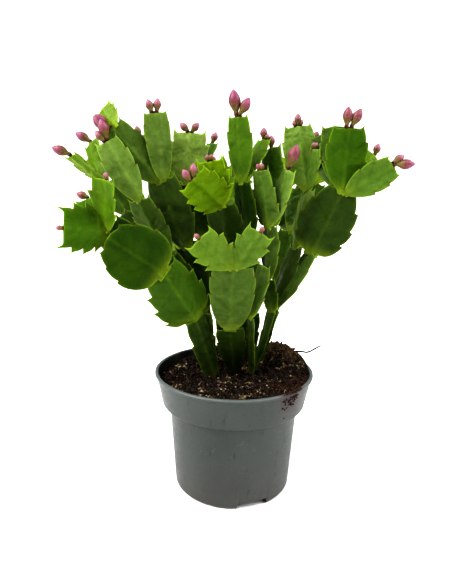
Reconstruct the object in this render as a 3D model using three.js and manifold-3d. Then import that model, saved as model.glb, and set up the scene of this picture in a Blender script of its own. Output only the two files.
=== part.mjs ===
// A Christmas cactus (Schlumbergera truncata type) in a 12 cm plastic grower pot.
//
// Millimetres, +Z up. The origin is on the pot's axis, on the surface that the pot stands on.
// The plant's fuller side faces -Y. Every stem is one branching chain of flat toothed segments,
// fused in one solid, and each flower bud or group of buds is a solid of its own on a segment's tip.

import * as THREE from 'three';
import { mergeVertices } from 'three/addons/utils/BufferGeometryUtils.js';
import Module from 'manifold-3d';

const wasm = await Module();
wasm.setup();

// ---------------------------------------------------------------- driving dimensions

const GAP = 0.3; // clear space between touching solids

const POT = {
  height: 91,
  rimRadius: 60,
  collarTopRadius: 58.6,
  collarFootRadius: 54.4,
  collarHeight: 24,
  bodyTopRadius: 48.9,
  baseRadius: 44.2,
  wall: 1.2,
  lip: 2.2, // height of the lip round the rim
  lipSlope: 0.4, // half the height over which the lip steps out
  bevel: 0.6,
  heelWidth: 1.6, // bevel from the ring up to the body
  heelHeight: 1.8,
  floorLift: 5.2, // clear height under the floor and in the notches
  floorThick: 1.5,
  footInnerRadius: 33,
  footSlope: 2, // the floor steps down to the ring over this width
  padRadius: 6, // flat pad under the middle of the floor, level with the ring
  padSlope: 1.5,
  sides: 28,
};

// The notches in the ring that the pot stands on, in degrees.
const NOTCHES = {
  count: 3,
  first: -69, // middle of the first one
  half: 15, // half of one notch
  wall: 1.6, // what a notch's side wall takes
  margin: 4, // how far the notch's cutter reaches past the ring, in millimetres
  arcSteps: 4,
};

const DRAIN = { holes: 6, radius: 4, circle: 20, sides: 8, cut: 8 };

const SOIL = {
  level: 86.5,
  edge: 56,
  slope: 2.6, // rise from the axis to the +X edge
  swell: 2.2, // what the +X side rises more than that, towards its edge
  heap: { x: 34, y: 36, height: 14, spread: 16 },
  bank: { x: 48, y: 24, height: 7, spread: 11 },
  rim: 3, // height of the straight edge under the surface
  rings: 5,
  crumb: 0.8, // how far the crumbs rise and fall
  crumbWaves: { x: 0.61, y: 0.53, slantX: 0.23, slantY: 0.41, phase: 1.3, slantShare: 0.6 },
};

const TWIG = {
  radius: 0.6,
  clearance: 0.5, // round it in its hole, which starts this lead before it
  lead: 1,
  sides: 6,
  steps: 8,
  points: [
    [37, 32, 92.6], [44, 36, 93.4], [51, 37, 93.6], [57, 37.5, 93.5],
    [62, 38, 93], [67, 39, 95.5], [73, 40, 98.5],
  ],
};

// Thickness at the margin and at the rib's two ends, and how far a segment sinks into its parent.
const BLADE = { edge: 0.9, ribBase: 4.2, ribTip: 2.6, sink: 2.5, ribSteps: 2 };

// The part of a stem in the soil, and how much wider, thicker and higher its hole is.
const FOOT = {
  depth: 11,
  rise: 2,
  thick: 4.4,
  taper: 0.85,
  sides: 6,
  holeWide: 2.2,
  holeThick: 1.3,
  holeRise: 9,
  holeDepth: 12,
};

// Shares of a segment's length and half width that every margin has in common.
const MARGIN = {
  stagger: 0.05, // how far the left teeth may stand ahead of the right ones
  wander: 0.03, // how far one tooth may stray along the margin
  rake: 0.02, // a tooth leans forward by this much
  cut: 0.025, // its notch lies this far along
  crown: 0.02, // how far the middle of a lobe stands out
  unlike: 0.4, // how much two teeth may differ in reach
  hornOut: 0.04,
  hornRoot: 0.6, // the end horns' inner roots, as a share of the tip's width
};

// Outline kinds. Distances along the segment are shares of its length, and distances across are
// shares of its half width: neck and tip widths, the place of the widest part, the teeth of one
// margin, how far a tooth stands out, how deep its notch is, and how far the end horns rise.
const KINDS = {
  shield: {
    neck: 0.3, peak: 0.7, power: 0.6, tip: 0.82,
    teeth: [0.55, 0.84], reach: 0.03, notch: 0.03, horn: 0.02,
  },
  round: {
    neck: 0.28, peak: 0.45, power: 0.42, tip: 0.5,
    teeth: [0.5, 0.78], reach: 0.04, notch: 0.04, horn: 0.05, full: true,
  },
  scallop: {
    neck: 0.28, peak: 0.45, power: 0.42, tip: 0.5,
    teeth: [0.22, 0.48, 0.74], reach: 0.06, notch: 0.07, horn: 0.04, full: true,
  },
  leaf: {
    neck: 0.24, peak: 0.58, power: 0.8, tip: 0.7,
    teeth: [0.46, 0.76], reach: 0.07, notch: 0.07, horn: 0.06,
  },
  spiny: {
    neck: 0.32, peak: 0.44, power: 0.6, tip: 0.84,
    teeth: [0.26, 0.52, 0.78], reach: 0.17, notch: 0.13, horn: 0.2,
  },
  broad: {
    neck: 0.32, peak: 0.44, power: 0.6, tip: 0.8,
    teeth: [0.26, 0.52, 0.78], reach: 0.15, notch: 0.1, horn: 0.1,
  },
  wedge: {
    neck: 0.4, peak: 0.25, power: 0.35, tip: 0.62,
    teeth: [0.12, 0.4, 0.66], reach: 0.12, notch: 0.08, horn: 0.08,
  },
  claw: {
    neck: 0.26, peak: 0.6, power: 0.8, tip: 0.85,
    teeth: [0.42, 0.74], reach: 0.22, notch: 0.12, horn: 0.13,
  },
  strap: {
    neck: 0.42, peak: 0.75, power: 0.35, tip: 0.85,
    teeth: [0.6], reach: 0.14, notch: 0.1, horn: 0.03,
  },
  root: {
    neck: 0.34, peak: 0.85, power: 0.75, tip: 0.86,
    teeth: [0.7], reach: 0.08, notch: 0.06, horn: 0.03,
  },
};

// Length over the round foot, widest radius, radius of the foot, and sides.
const BUD_SIZES = {
  large: { length: 15.5, radius: 3.7, foot: 1.7, sides: 6 },
  medium: { length: 12, radius: 3.1, foot: 1.5, sides: 6 },
  small: { length: 7.5, radius: 2.5, foot: 1.3, sides: 5 },
  bead: { length: 3.2, radius: 1.7, foot: 1.2, sides: 5 },
};

const CUSHION = { radius: 1.1, sides: 4 };

// ---------------------------------------------------------------- the plant, as a table
//
// A stem has the place of its foot in the soil, and one row for each segment:
// name, parent (null at the soil), length, width, lean (degrees from upright towards +X),
// toward (degrees towards -Y), turn (degrees about its own length; 0 shows its flat side to -Y),
// kind, and options: bow and bend (arch out of and in the blade's plane, shares of the length),
// cup (how far the margins stand forward, a share of the half width), fold (a V along the rib),
// and shift (mm along the parent's tip).

const STEMS = {
  front_left: {
    foot: [-15, -6],
    rows: [
      ['a1', null, 54, 17, -15, 18, -35, 'strap', {}],
      ['a2', 'a1', 46, 38, -28, 26, -19, 'wedge', { fold: -0.35 }],
      ['a3', 'a2', 40, 42, -55, 14, 0, 'round', { cup: 0.12 }],
      ['a4', 'a2', 44, 29, -50, 4, 0, 'leaf', { shift: -1 }],
      ['a5', 'a4', 28, 29, -86, 34, 0, 'spiny', { cup: -0.1 }],
      ['a6', 'a4', 33, 20, 5, 21, 28, 'claw', { fold: 0.35 }],
      ['a7', 'a4', 25, 20, -38, -20, -45, 'claw', {}],
    ],
  },
  left: {
    foot: [-19, 15],
    rows: [
      ['b1', null, 49, 16, -6, 11, 35, 'strap', {}],
      ['b2', 'b1', 52, 25, -14, 9, 15, 'leaf', {}],
      ['b3', 'b2', 52, 29, -19, 13, 15, 'leaf', { bow: 0.03 }],
      ['b4', 'b3', 45, 24, -41, 15, -12, 'leaf', { shift: -2, bow: 0.04 }],
      ['b5', 'b3', 41, 24, -32, -32, 10, 'leaf', {}],
      ['b6', 'b3', 43, 18, -6, 8, -25, 'shield', { shift: 2 }],
      ['b7', 'b4', 17, 16, -42, -30, 10, 'claw', { shift: 3 }],
      ['c1', 'b1', 52, 22, -29, 17, 10, 'leaf', { shift: -1 }],
      ['c2', 'c1', 47, 22, -23, 20, 20, 'leaf', {}],
      ['c3', 'c2', 42, 20, -26, 14, -15, 'leaf', { bow: 0.05 }],
      ['c4', 'c1', 41, 28, -41, -14, 0, 'leaf', { shift: -1 }],
      ['c5', 'c4', 28, 20, -39, 12, 0, 'leaf', {}],
      ['c6', 'c5', 30, 16, -47, 28, 50, 'claw', {}],
      ['c7', 'c5', 35, 18, -26, -24, 30, 'claw', {}],
      ['c8', 'c1', 44, 27, -52, -6, 0, 'leaf', { shift: -3 }],
    ],
  },
  centre: {
    foot: [-3, 30],
    rows: [
      ['d1', null, 51, 18, -5, 21, 20, 'strap', {}],
      ['d2', 'd1', 48, 23, 2, 8, 24, 'leaf', {}],
      ['d3', 'd2', 40, 25, -9, 33, 14, 'leaf', {}],
      ['d4', 'd3', 36, 26, -47, 47, 0, 'broad', { cup: 0.15 }],
      ['d5', 'd3', 31, 21, -16, 18, 20, 'claw', {}],
      ['d6', 'd1', 57, 26, -17, -6, 0, 'leaf', { shift: -2 }],
      ['d7', 'd6', 43, 25, -16, 5, 0, 'leaf', {}],
      ['d8', 'd7', 35, 28, 3, 6, 0, 'broad', {}],
      ['d9', 'd7', 36, 18, 30, -20, 55, 'leaf', {}],
    ],
  },
  front: {
    foot: [0.8, 3],
    rows: [
      ['h1', null, 47, 21, -6, 28, 0, 'root', {}],
      ['h2', 'h1', 50, 31, 2, 19, 0, 'shield', {}],
      ['h3', 'h2', 33, 23, -45, 31, 0, 'claw', { shift: -1.5, cup: 0.1 }],
      ['h4', 'h2', 33, 20, 31, 29, 0, 'claw', { shift: 1.5, cup: 0.1 }],
    ],
  },
  middle: {
    foot: [10.6, 26],
    rows: [
      ['e1', null, 49, 16, 2, 24, 25, 'strap', {}],
      ['e2', 'e1', 53, 19, -3, 13, 52, 'leaf', {}],
      ['e3', 'e2', 45, 20, -9, 10, 46, 'leaf', {}],
      ['e4', 'e3', 42, 19, -5, 6, 30, 'leaf', {}],
      ['e5', 'e3', 36, 16, 27, -25, 50, 'leaf', {}],
    ],
  },
  front_right: {
    foot: [13.4, -1],
    rows: [
      ['j1', null, 53, 11, -3, 20, 60, 'strap', {}],
      ['j2', 'j1', 38, 20, 12, 3, 60, 'leaf', {}],
    ],
  },
  right_centre: {
    foot: [16.5, 9],
    rows: [
      ['f1', null, 53, 10, 12, 16.5, 60, 'strap', {}],
      ['f2', 'f1', 24, 14, -10, 5, 40, 'strap', {}],
      ['f3', 'f2', 39, 20, 0, 6, 55, 'leaf', {}],
      ['f4', 'f3', 39, 20, -12, 11, 40, 'wedge', {}],
      ['f5', 'f3', 40, 22, 15, 11, 64, 'leaf', {}],
      ['f6', 'f3', 56, 22, 0, -17, 45, 'leaf', {}],
    ],
  },
  right: {
    foot: [20, 15],
    rows: [
      ['g1', null, 51, 10, 12, 16, 60, 'strap', {}],
      ['g2', 'g1', 49, 19, 29, 7, 66, 'leaf', {}],
      ['g3', 'g2', 48, 39, 23, 7, 0, 'scallop', { cup: -0.08 }],
      ['g4', 'g3', 41, 28, 0, 8, 0, 'leaf', { cup: 0.08 }],
      ['g5', 'g3', 35, 20, 55, 27, 0, 'leaf', { fold: 0.4, shift: 3 }],
      ['g6', 'g3', 38, 22, 43, -25, 0, 'leaf', {}],
      ['g7', 'g3', 49, 24, -6, -24, 0, 'leaf', {}],
      ['g8', 'g3', 47, 22, -17, -32, 0, 'leaf', { shift: -2 }],
      ['m1', 'g1', 46, 22, 18, -7, 64, 'leaf', { shift: -2 }],
      ['m2', 'm1', 43, 22, 10, 0, 66, 'leaf', {}],
      ['m3', 'm2', 29, 18, 6, 3, 66, 'leaf', {}],
      ['m4', 'm2', 47, 26, -9, -12, 0, 'leaf', { shift: -2 }],
    ],
  },
  back_right: {
    foot: [24, 36],
    rows: [
      ['k1', null, 50, 12, 14, -8, 45, 'strap', {}],
      ['k2', 'k1', 48, 26, 11, -14, -10, 'leaf', {}],
      ['k3', 'k2', 46, 27, 24, -12, 10, 'leaf', {}],
      ['k4', 'k3', 38, 24, 36, -8, 15, 'claw', {}],
      ['k5', 'k3', 38, 24, 0, -24, -10, 'claw', {}],
      ['k6', 'k2', 44, 26, -12, -36, 0, 'leaf', {}],
      ['k7', 'k6', 34, 24, 20, -38, 0, 'claw', {}],
    ],
  },
  back_left: {
    foot: [-24, 34],
    rows: [
      ['l1', null, 50, 17, -6, -8, -20, 'strap', {}],
      ['l2', 'l1', 48, 27, -24, -14, 10, 'leaf', {}],
      ['l3', 'l2', 45, 26, -10, -14, 0, 'leaf', {}],
      ['l4', 'l3', 38, 24, -35, -18, 10, 'claw', {}],
      ['l5', 'l3', 38, 22, 10, -8, -25, 'claw', {}],
      ['l6', 'l2', 42, 27, -52, -32, 0, 'leaf', {}],
      ['l7', 'l6', 32, 24, -50, -10, 0, 'claw', {}],
    ],
  },
  back: {
    foot: [-6, 46],
    rows: [
      ['n1', null, 50, 18, -2, -10, 0, 'strap', {}],
      ['n2', 'n1', 48, 29, -8, -20, 0, 'leaf', {}],
      ['n3', 'n2', 38, 27, 6, -10, 0, 'leaf', {}],
      ['n4', 'n3', 34, 25, -22, -14, 0, 'claw', {}],
      ['n5', 'n3', 34, 24, 28, -20, 0, 'claw', {}],
      ['n6', 'n2', 42, 27, 30, -42, 0, 'leaf', {}],
      ['n7', 'n6', 30, 26, 10, -58, 0, 'claw', {}],
    ],
  },
};

// The buds on a segment's tip: size, lean, toward, and shift along the tip.
const BUDS = {
  a5: [['bead', -90, 20, 0]],
  a6: [['bead', 0, 20, 0]],
  a7: [['small', -70, 0, 0]],
  b4: [['medium', -38, -6, -4], ['medium', -46, 38, -1]],
  b5: [['small', -10, 0, 0]],
  b6: [['small', -15, 0, -2.4], ['small', 4, 5, 1.6]],
  c3: [['medium', -14, 10, 1], ['small', -40, 0, -1.6]],
  c6: [['medium', -66, 10, 0]],
  c7: [['medium', -58, 0, 0]],
  d4: [['small', -35, 20, -1.6], ['small', 5, 10, 1.8]],
  d5: [['bead', -15, 0, -1], ['bead', 15, 0, 1.2]],
  d8: [['small', -45, 0, -1.8], ['small', 40, 0, 1.8]],
  d9: [['small', 20, 0, 0]],
  e4: [['large', -9, 5, -1], ['medium', 34, 5, 1.8]],
  e5: [['small', 0, 0, -1], ['bead', 30, 0, 1.5]],
  f4: [['bead', -30, 10, -1.2], ['bead', 0, 20, 1.2]],
  f5: [['large', 20, 8, 0]],
  f6: [['small', 0, 0, 0]],
  g4: [['medium', 4, 5, -1.6], ['medium', 26, 5, 2]],
  g5: [['medium', 92, 10, 0], ['small', 55, 0, -1.8]],
  g6: [['small', 20, 0, 0]],
  k4: [['medium', 40, -10, 0]],
  k5: [['small', -20, -30, -1.6], ['small', 20, -30, 1.6]],
  k7: [['bead', 0, -30, 0]],
  l4: [['large', -40, -20, 0]],
  l5: [['small', 0, -15, 0]],
  l7: [['medium', -60, -10, 0]],
  n4: [['medium', -30, -20, -1], ['bead', 10, -20, 1.5]],
  n5: [['large', 30, -30, 0]],
  n7: [['small', 0, -70, 0]],
  h3: [['bead', -40, 10, 0]],
  h4: [['bead', 15, 10, 0]],
  m3: [['bead', -10, 0, -1], ['bead', 15, 10, 1]],
  m4: [['bead', -30, 0, -2], ['small', 0, 0, 0], ['bead', 30, 0, 2]],
};

// ---------------------------------------------------------------- solids

const toSolid = (geometry) => {
  const position = geometry.attributes.position;
  return new wasm.Manifold(new wasm.Mesh({
    numProp: 3,
    vertProperties: new Float32Array(position.array),
    triVerts: new Uint32Array(geometry.index.array),
  }));
};

// A closed three.js geometry with its corners shared, slivers dropped and faces pointing out.
const weld = (geometry) => {
  geometry.deleteAttribute('normal');
  geometry.deleteAttribute('uv');
  const merged = mergeVertices(geometry, 1e-4);
  const index = merged.index.array;
  const position = merged.attributes.position;
  const corners = [new THREE.Vector3(), new THREE.Vector3(), new THREE.Vector3()];
  const kept = [];
  let volume = 0;
  for (let i = 0; i < index.length; i += 3) {
    const [a, b, c] = [index[i], index[i + 1], index[i + 2]];
    if (a !== b && b !== c && c !== a) {
      kept.push([a, b, c]);
      corners.forEach((corner, k) => corner.fromBufferAttribute(position, index[i + k]));
      volume += corners[0].dot(corners[1].clone().cross(corners[2]));
    }
  }
  merged.setIndex((volume > 0 ? kept : kept.map(([a, b, c]) => [a, c, b])).flat());
  return merged;
};

const toGeometry = (solid) => {
  const mesh = solid.getMesh();
  const geometry = new THREE.BufferGeometry();
  geometry.setAttribute('position', new THREE.BufferAttribute(new Float32Array(mesh.vertProperties), 3));
  geometry.setIndex(new THREE.BufferAttribute(new Uint32Array(mesh.triVerts), 1));
  geometry.computeVertexNormals();
  return geometry;
};

const indexed = (points, triangles) => {
  const geometry = new THREE.BufferGeometry();
  const flat = points.flatMap((p) => [p.x, p.y, p.z]);
  geometry.setAttribute('position', new THREE.Float32BufferAttribute(flat, 3));
  geometry.setIndex(triangles.flat());
  return geometry;
};

// Repeatable draws from -0.5 to 0.5, the same on every machine.
const draws = (seed) => {
  const modulus = 2147483647;
  let state = seed * 7919 + 17;
  return () => {
    state = (state * 16807) % modulus;
    return state / modulus - 0.5;
  };
};

// ---------------------------------------------------------------- one segment of a stem

const directionOf = (lean, toward) => {
  const a = THREE.MathUtils.degToRad(lean);
  const b = THREE.MathUtils.degToRad(toward);
  return new THREE.Vector3(Math.sin(a) * Math.cos(b), -Math.sin(b), Math.cos(a) * Math.cos(b));
};

const axesOf = (lean, toward, turn) => {
  const along = directionOf(lean, toward);
  const level = new THREE.Vector3(0, 1, 0).cross(along).normalize();
  const across = level.applyAxisAngle(along, -THREE.MathUtils.degToRad(turn));
  const facing = across.clone().cross(along);
  return { along, across, facing };
};

// Half width of the smooth outline that the teeth stand on.
const envelope = (kind, s) => {
  if (s < kind.peak) {
    return kind.neck + (1 - kind.neck) * Math.sin((Math.PI / 2) * (s / kind.peak)) ** kind.power;
  }
  return 1 - (1 - kind.tip) * ((s - kind.peak) / (1 - kind.peak)) ** 2;
};

// One margin, from the neck to the root of the end horn, as [along, across] pairs.
const marginOf = (kind, neckPlace, draw, stagger) => {
  const points = [[neckPlace, kind.neck]];
  let start = 0;
  for (const place of kind.teeth) {
    const s = place + stagger + MARGIN.wander * draw();
    const middle = (start + s) / 2;
    if (kind.full || start === 0) points.push([middle, envelope(kind, middle) + MARGIN.crown]);
    points.push([s + MARGIN.rake, envelope(kind, s) + kind.reach * (1 + MARGIN.unlike * draw())]);
    points.push([s + MARGIN.cut, envelope(kind, s) - kind.notch]);
    start = s;
  }
  const last = (start + 1) / 2 + MARGIN.rake;
  if (kind.full) points.push([last, envelope(kind, last)]);
  points.push([1 + kind.horn, kind.tip + MARGIN.hornOut]);
  points.push([1, kind.tip * MARGIN.hornRoot]);
  return points;
};

const segmentSolid = (row, base, seed) => {
  const [, , length, width, lean, toward, turn, kindName, options] = row;
  const kind = KINDS[kindName];
  const { along, across, facing } = axesOf(lean, toward, turn);
  const { bow = 0, bend = 0, cup = 0, fold = 0 } = options;
  const draw = draws(seed);
  const half = width / 2;

  const place = (s, x, depth) => {
    const arch = 4 * s * (1 - s) * length;
    const forward = bow * arch + half * (cup * x * x + fold * Math.abs(x)) + depth;
    return base.clone()
      .addScaledVector(along, s * length)
      .addScaledVector(across, x * half + bend * arch)
      .addScaledVector(facing, forward);
  };

  const start = -BLADE.sink / length;
  const stagger = MARGIN.stagger * draw();
  const right = marginOf(kind, start, draw, stagger);
  const left = marginOf(kind, start, draw, -stagger);
  const rib = [];
  for (let i = 0; i <= BLADE.ribSteps; i += 1) {
    rib.push(start + (1 - start) * (i / BLADE.ribSteps));
  }

  // Flat points: the rib, then the right and the left margins. Each half is triangulated alone.
  const flat = [
    ...rib.map((s) => [s, 0]),
    ...right,
    ...left.map(([s, x]) => [s, -x]),
  ];
  const corner = flat.map(([s, x]) => new THREE.Vector2(x * half, s * length));
  const count = flat.length;
  const ribCount = rib.length;
  const ribIndex = rib.map((_, i) => i);
  const rightIndex = right.map((_, i) => ribCount + i);
  const leftIndex = left.map((_, i) => ribCount + right.length + i);
  const halves = [
    [...ribIndex].reverse().concat(rightIndex),
    ribIndex.concat([...leftIndex].reverse()),
  ];

  const faces = [];
  for (const loop of halves) {
    for (const face of THREE.ShapeUtils.triangulateShape(loop.map((i) => corner[i]), [])) {
      let [a, b, c] = face.map((i) => loop[i]);
      const turn = corner[b].clone().sub(corner[a]).cross(corner[c].clone().sub(corner[a]));
      if (turn < 0) [b, c] = [c, b];
      faces.push([a, b, c], [a + count, c + count, b + count]);
    }
  }
  const rim = [0, ...rightIndex, ribCount - 1, ...[...leftIndex].reverse()];
  rim.forEach((a, i) => {
    const b = rim[(i + 1) % rim.length];
    faces.push([a, a + count, b + count], [a, b + count, b]);
  });

  const thickness = (i) => {
    if (i >= ribCount) return BLADE.edge;
    return BLADE.ribBase + (BLADE.ribTip - BLADE.ribBase) * Math.max(0, flat[i][0]);
  };
  const points = [
    ...flat.map(([s, x], i) => place(s, x, thickness(i) / 2)),
    ...flat.map(([s, x], i) => place(s, x, -thickness(i) / 2)),
  ];
  const solid = toSolid(indexed(points, faces));
  return { solid, tip: place(1, 0, 0), along, across, facing };
};

// ---------------------------------------------------------------- the soil's surface

const moundHeight = (mound, x, y) => {
  const distance = (x - mound.x) ** 2 + (y - mound.y) ** 2;
  return mound.height * Math.exp(-distance / (2 * mound.spread ** 2));
};

// Height of the soil without its crumbs: a slope, a heap that falls away at the pot's wall, and
// beside it a bank that stands up over the rim.
const groundHeight = (x, y) => {
  const wallFall = 1 - Math.min(1, Math.hypot(x, y) / SOIL.edge) ** 8;
  const mounds = moundHeight(SOIL.heap, x, y) * wallFall + moundHeight(SOIL.bank, x, y);
  const swell = SOIL.swell * Math.max(0, x / POT.rimRadius) ** 2;
  return SOIL.level + SOIL.slope * (x / POT.rimRadius) + swell + mounds;
};

const soilHeight = (x, y) => {
  const wave = SOIL.crumbWaves;
  const straight = Math.sin(x * wave.x + wave.phase) * Math.cos(y * wave.y);
  const slanted = wave.slantShare * Math.sin(x * wave.slantX - y * wave.slantY);
  return groundHeight(x, y) + SOIL.crumb * (straight + slanted);
};

// ---------------------------------------------------------------- stems

// The part of a stem that stands in the soil, or with margins the hole that it stands in.
const footSolid = (base, row, wide, thick, rise, depth) => {
  const [, , , width, lean, toward, turn, kindName] = row;
  const { along, across, facing } = axesOf(lean, toward, turn);
  const neck = KINDS[kindName].neck * width / 2;
  const turned = Math.PI / FOOT.sides; // puts a corner on the blade's edge
  const plug = new THREE.CylinderGeometry(1, FOOT.taper, depth + rise, FOOT.sides, 1, false, turned);
  const geometry = weld(plug);
  geometry.rotateX(Math.PI / 2);
  geometry.translate(0, 0, (rise - depth) / 2);
  geometry.scale(neck + wide, (FOOT.thick / 2) + thick, 1);
  geometry.applyMatrix4(new THREE.Matrix4().makeBasis(across, facing.clone().negate(), along));
  geometry.translate(base.x, base.y, base.z);
  return toSolid(geometry);
};

const footPlace = ([x, y]) => new THREE.Vector3(x, y, groundHeight(x, y));

const growStem = (stem, seed) => {
  const grown = {};
  let solid = null;
  stem.rows.forEach((row, i) => {
    const parent = grown[row[1]];
    const base = parent
      ? parent.tip.clone().addScaledVector(parent.across, row[8].shift ?? 0)
      : footPlace(stem.foot);
    const segment = segmentSolid(row, base, seed + i);
    grown[row[0]] = segment;
    solid = solid ? solid.add(segment.solid) : segment.solid;
    if (!parent) solid = solid.add(footSolid(base, row, 0, 0, FOOT.rise, FOOT.depth));
  });
  return { solid, grown };
};

// ---------------------------------------------------------------- buds

// A bud is a turned body: a round green foot, a short neck, and a pointed pink head.
const budSolid = (origin, size, lean, toward) => {
  const { length, radius, foot, sides } = BUD_SIZES[size];
  const head = {
    large: [[0.03, 0.42], [0.5, 1], [0.82, 0.68]],
    medium: [[0.03, 0.46], [0.5, 1], [0.82, 0.68]],
    small: [[0.4, 0.95], [0.8, 0.7]],
    bead: [[0.3, 1]],
  }[size];
  const profile = [
    new THREE.Vector2(0, -foot),
    ...head.map(([s, r]) => new THREE.Vector2(radius * r, length * s)),
    new THREE.Vector2(0, length),
  ];
  const geometry = weld(new THREE.LatheGeometry(profile, sides));
  const up = new THREE.Vector3(0, 1, 0);
  geometry.applyQuaternion(new THREE.Quaternion().setFromUnitVectors(up, directionOf(lean, toward)));
  geometry.translate(origin.x, origin.y, origin.z);
  return toSolid(geometry);
};

// The buds of one tip stand on a small cushion that joins them, just clear of the segment.
const budGroup = (segment, buds) => {
  const { tip, across, along, facing } = segment;
  const seat = tip.clone().addScaledVector(along, GAP + CUSHION.radius);
  const shifts = buds.map((bud) => bud[3]);
  const low = Math.min(...shifts) - CUSHION.radius * 0.5;
  const high = Math.max(...shifts) + CUSHION.radius * 0.5;
  const bar = weld(new THREE.CylinderGeometry(CUSHION.radius, CUSHION.radius, high - low, CUSHION.sides));
  bar.translate(0, (low + high) / 2, 0);
  bar.applyMatrix4(new THREE.Matrix4().makeBasis(facing, across, along));
  bar.translate(seat.x, seat.y, seat.z);
  let solid = buds.length > 1 ? toSolid(bar) : null;
  for (const [size, lean, toward, shift] of buds) {
    const lift = GAP + BUD_SIZES[size].foot;
    const origin = tip.clone().addScaledVector(along, lift).addScaledVector(across, shift);
    const bud = budSolid(origin, size, lean, toward);
    solid = solid ? solid.add(bud) : bud;
  }
  return solid;
};

// ---------------------------------------------------------------- pot

// A turned solid about +Z from a closed profile of [radius, height] points.
const ring = (points, sides) => {
  const profile = points.map(([r, z]) => new THREE.Vector2(r, z));
  return toSolid(weld(new THREE.LatheGeometry(profile, sides)).rotateX(Math.PI / 2));
};

// A block between two radii and two angles (degrees), from one height to another.
const sector = (inner, outer, from, to, low, high) => {
  const a = THREE.MathUtils.degToRad(from);
  const b = THREE.MathUtils.degToRad(to);
  const shape = new THREE.Shape();
  shape.absarc(0, 0, outer, a, b, false);
  shape.absarc(0, 0, inner, b, a, true);
  const options = { depth: high - low, bevelEnabled: false, curveSegments: NOTCHES.arcSteps };
  return toSolid(weld(new THREE.ExtrudeGeometry(shape, options)).translate(0, 0, low));
};

const collarFoot = POT.height - POT.collarHeight;
const lipFoot = POT.height - POT.lip;
const floorTop = POT.floorLift + POT.floorThick;

// Radius of the body's outside at a height below the collar.
const bodyRadius = (z) => (
  POT.baseRadius + (POT.bodyTopRadius - POT.baseRadius) * (z / collarFoot)
);

const potProfile = () => {
  const { wall, bevel, footInnerRadius: footIn } = POT;
  const outside = [
    [0, 0], [POT.padRadius, 0], [POT.padRadius + POT.padSlope, POT.floorLift],
    [footIn - POT.footSlope, POT.floorLift], [footIn, 0],
    [POT.baseRadius - POT.heelWidth, 0], [bodyRadius(POT.heelHeight), POT.heelHeight],
    [POT.bodyTopRadius, collarFoot - 2 * bevel],
    [POT.collarFootRadius - bevel, collarFoot], [POT.collarFootRadius, collarFoot + bevel],
    [POT.collarTopRadius, lipFoot - POT.lipSlope], [POT.rimRadius, lipFoot + POT.lipSlope],
    [POT.rimRadius, POT.height - bevel], [POT.rimRadius - bevel, POT.height],
  ];
  const inside = [
    [POT.collarTopRadius - wall + bevel / 2, POT.height], [POT.collarTopRadius - wall, lipFoot],
    [POT.collarFootRadius - wall, collarFoot + 2], [POT.bodyTopRadius - wall, collarFoot + bevel],
    [bodyRadius(3) - wall, 3], [POT.baseRadius - wall - 1, POT.floorThick],
    [footIn + POT.heelWidth, POT.floorThick], [footIn - POT.heelWidth, floorTop], [0, floorTop],
  ];
  return [...outside, ...inside];
};

// A notch is cut through the ring under the wall, and roofed over.
const cutNotch = (pot, from, to) => {
  const inner = POT.footInnerRadius - POT.footSlope - 0.5;
  const outer = bodyRadius(0) - 0.4;
  const slack = NOTCHES.wall;
  const roof = sector(inner, outer, from - slack, to + slack, 0.02, floorTop);
  const reach = NOTCHES.margin;
  const cut = sector(inner - reach, POT.baseRadius + reach, from, to, -reach, POT.floorLift);
  return pot.add(roof).subtract(cut);
};

const buildPot = () => {
  let solid = ring(potProfile(), POT.sides);
  for (let i = 0; i < NOTCHES.count; i += 1) {
    const middle = NOTCHES.first + (i * 360) / NOTCHES.count;
    solid = cutNotch(solid, middle - NOTCHES.half, middle + NOTCHES.half);
  }
  for (let i = 0; i < DRAIN.holes; i += 1) {
    const angle = (i / DRAIN.holes) * 2 * Math.PI;
    const drill = new THREE.CylinderGeometry(DRAIN.radius, DRAIN.radius, DRAIN.cut, DRAIN.sides);
    const hole = weld(drill).rotateX(Math.PI / 2);
    hole.translate(DRAIN.circle * Math.cos(angle), DRAIN.circle * Math.sin(angle), POT.floorLift);
    solid = solid.subtract(toSolid(hole));
  }
  return solid;
};

// ---------------------------------------------------------------- soil and root twig

const buildSoil = () => {
  const side = POT.wall + GAP + 0.1;
  const profile = [
    [0, floorTop + GAP], [bodyRadius(floorTop) - side - 0.1, floorTop + GAP],
    [POT.bodyTopRadius - side, collarFoot], [POT.bodyTopRadius - side, collarFoot + 2 * POT.bevel],
    [POT.collarFootRadius - side, collarFoot + 2.8], [SOIL.edge, SOIL.level - SOIL.rim],
  ];
  for (let i = 0; i <= SOIL.rings; i += 1) {
    profile.push([SOIL.edge * (1 - i / SOIL.rings) ** 0.9, SOIL.level]);
  }
  const lathe = new THREE.LatheGeometry(profile.map(([r, z]) => new THREE.Vector2(r, z)), POT.sides);
  const geometry = weld(lathe).rotateX(Math.PI / 2);
  const position = geometry.attributes.position;
  for (let i = 0; i < position.count; i += 1) {
    if (position.getZ(i) > SOIL.level - SOIL.rim / 2) {
      position.setZ(i, soilHeight(position.getX(i), position.getY(i)));
    }
  }
  let solid = toSolid(geometry);
  for (const stem of Object.values(STEMS)) {
    const { holeWide, holeThick, holeRise, holeDepth } = FOOT;
    const base = footPlace(stem.foot);
    solid = solid.subtract(footSolid(base, stem.rows[0], holeWide, holeThick, holeRise, holeDepth));
  }
  return solid.subtract(twigSolid(TWIG.radius + TWIG.clearance, TWIG.lead));
};

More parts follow.
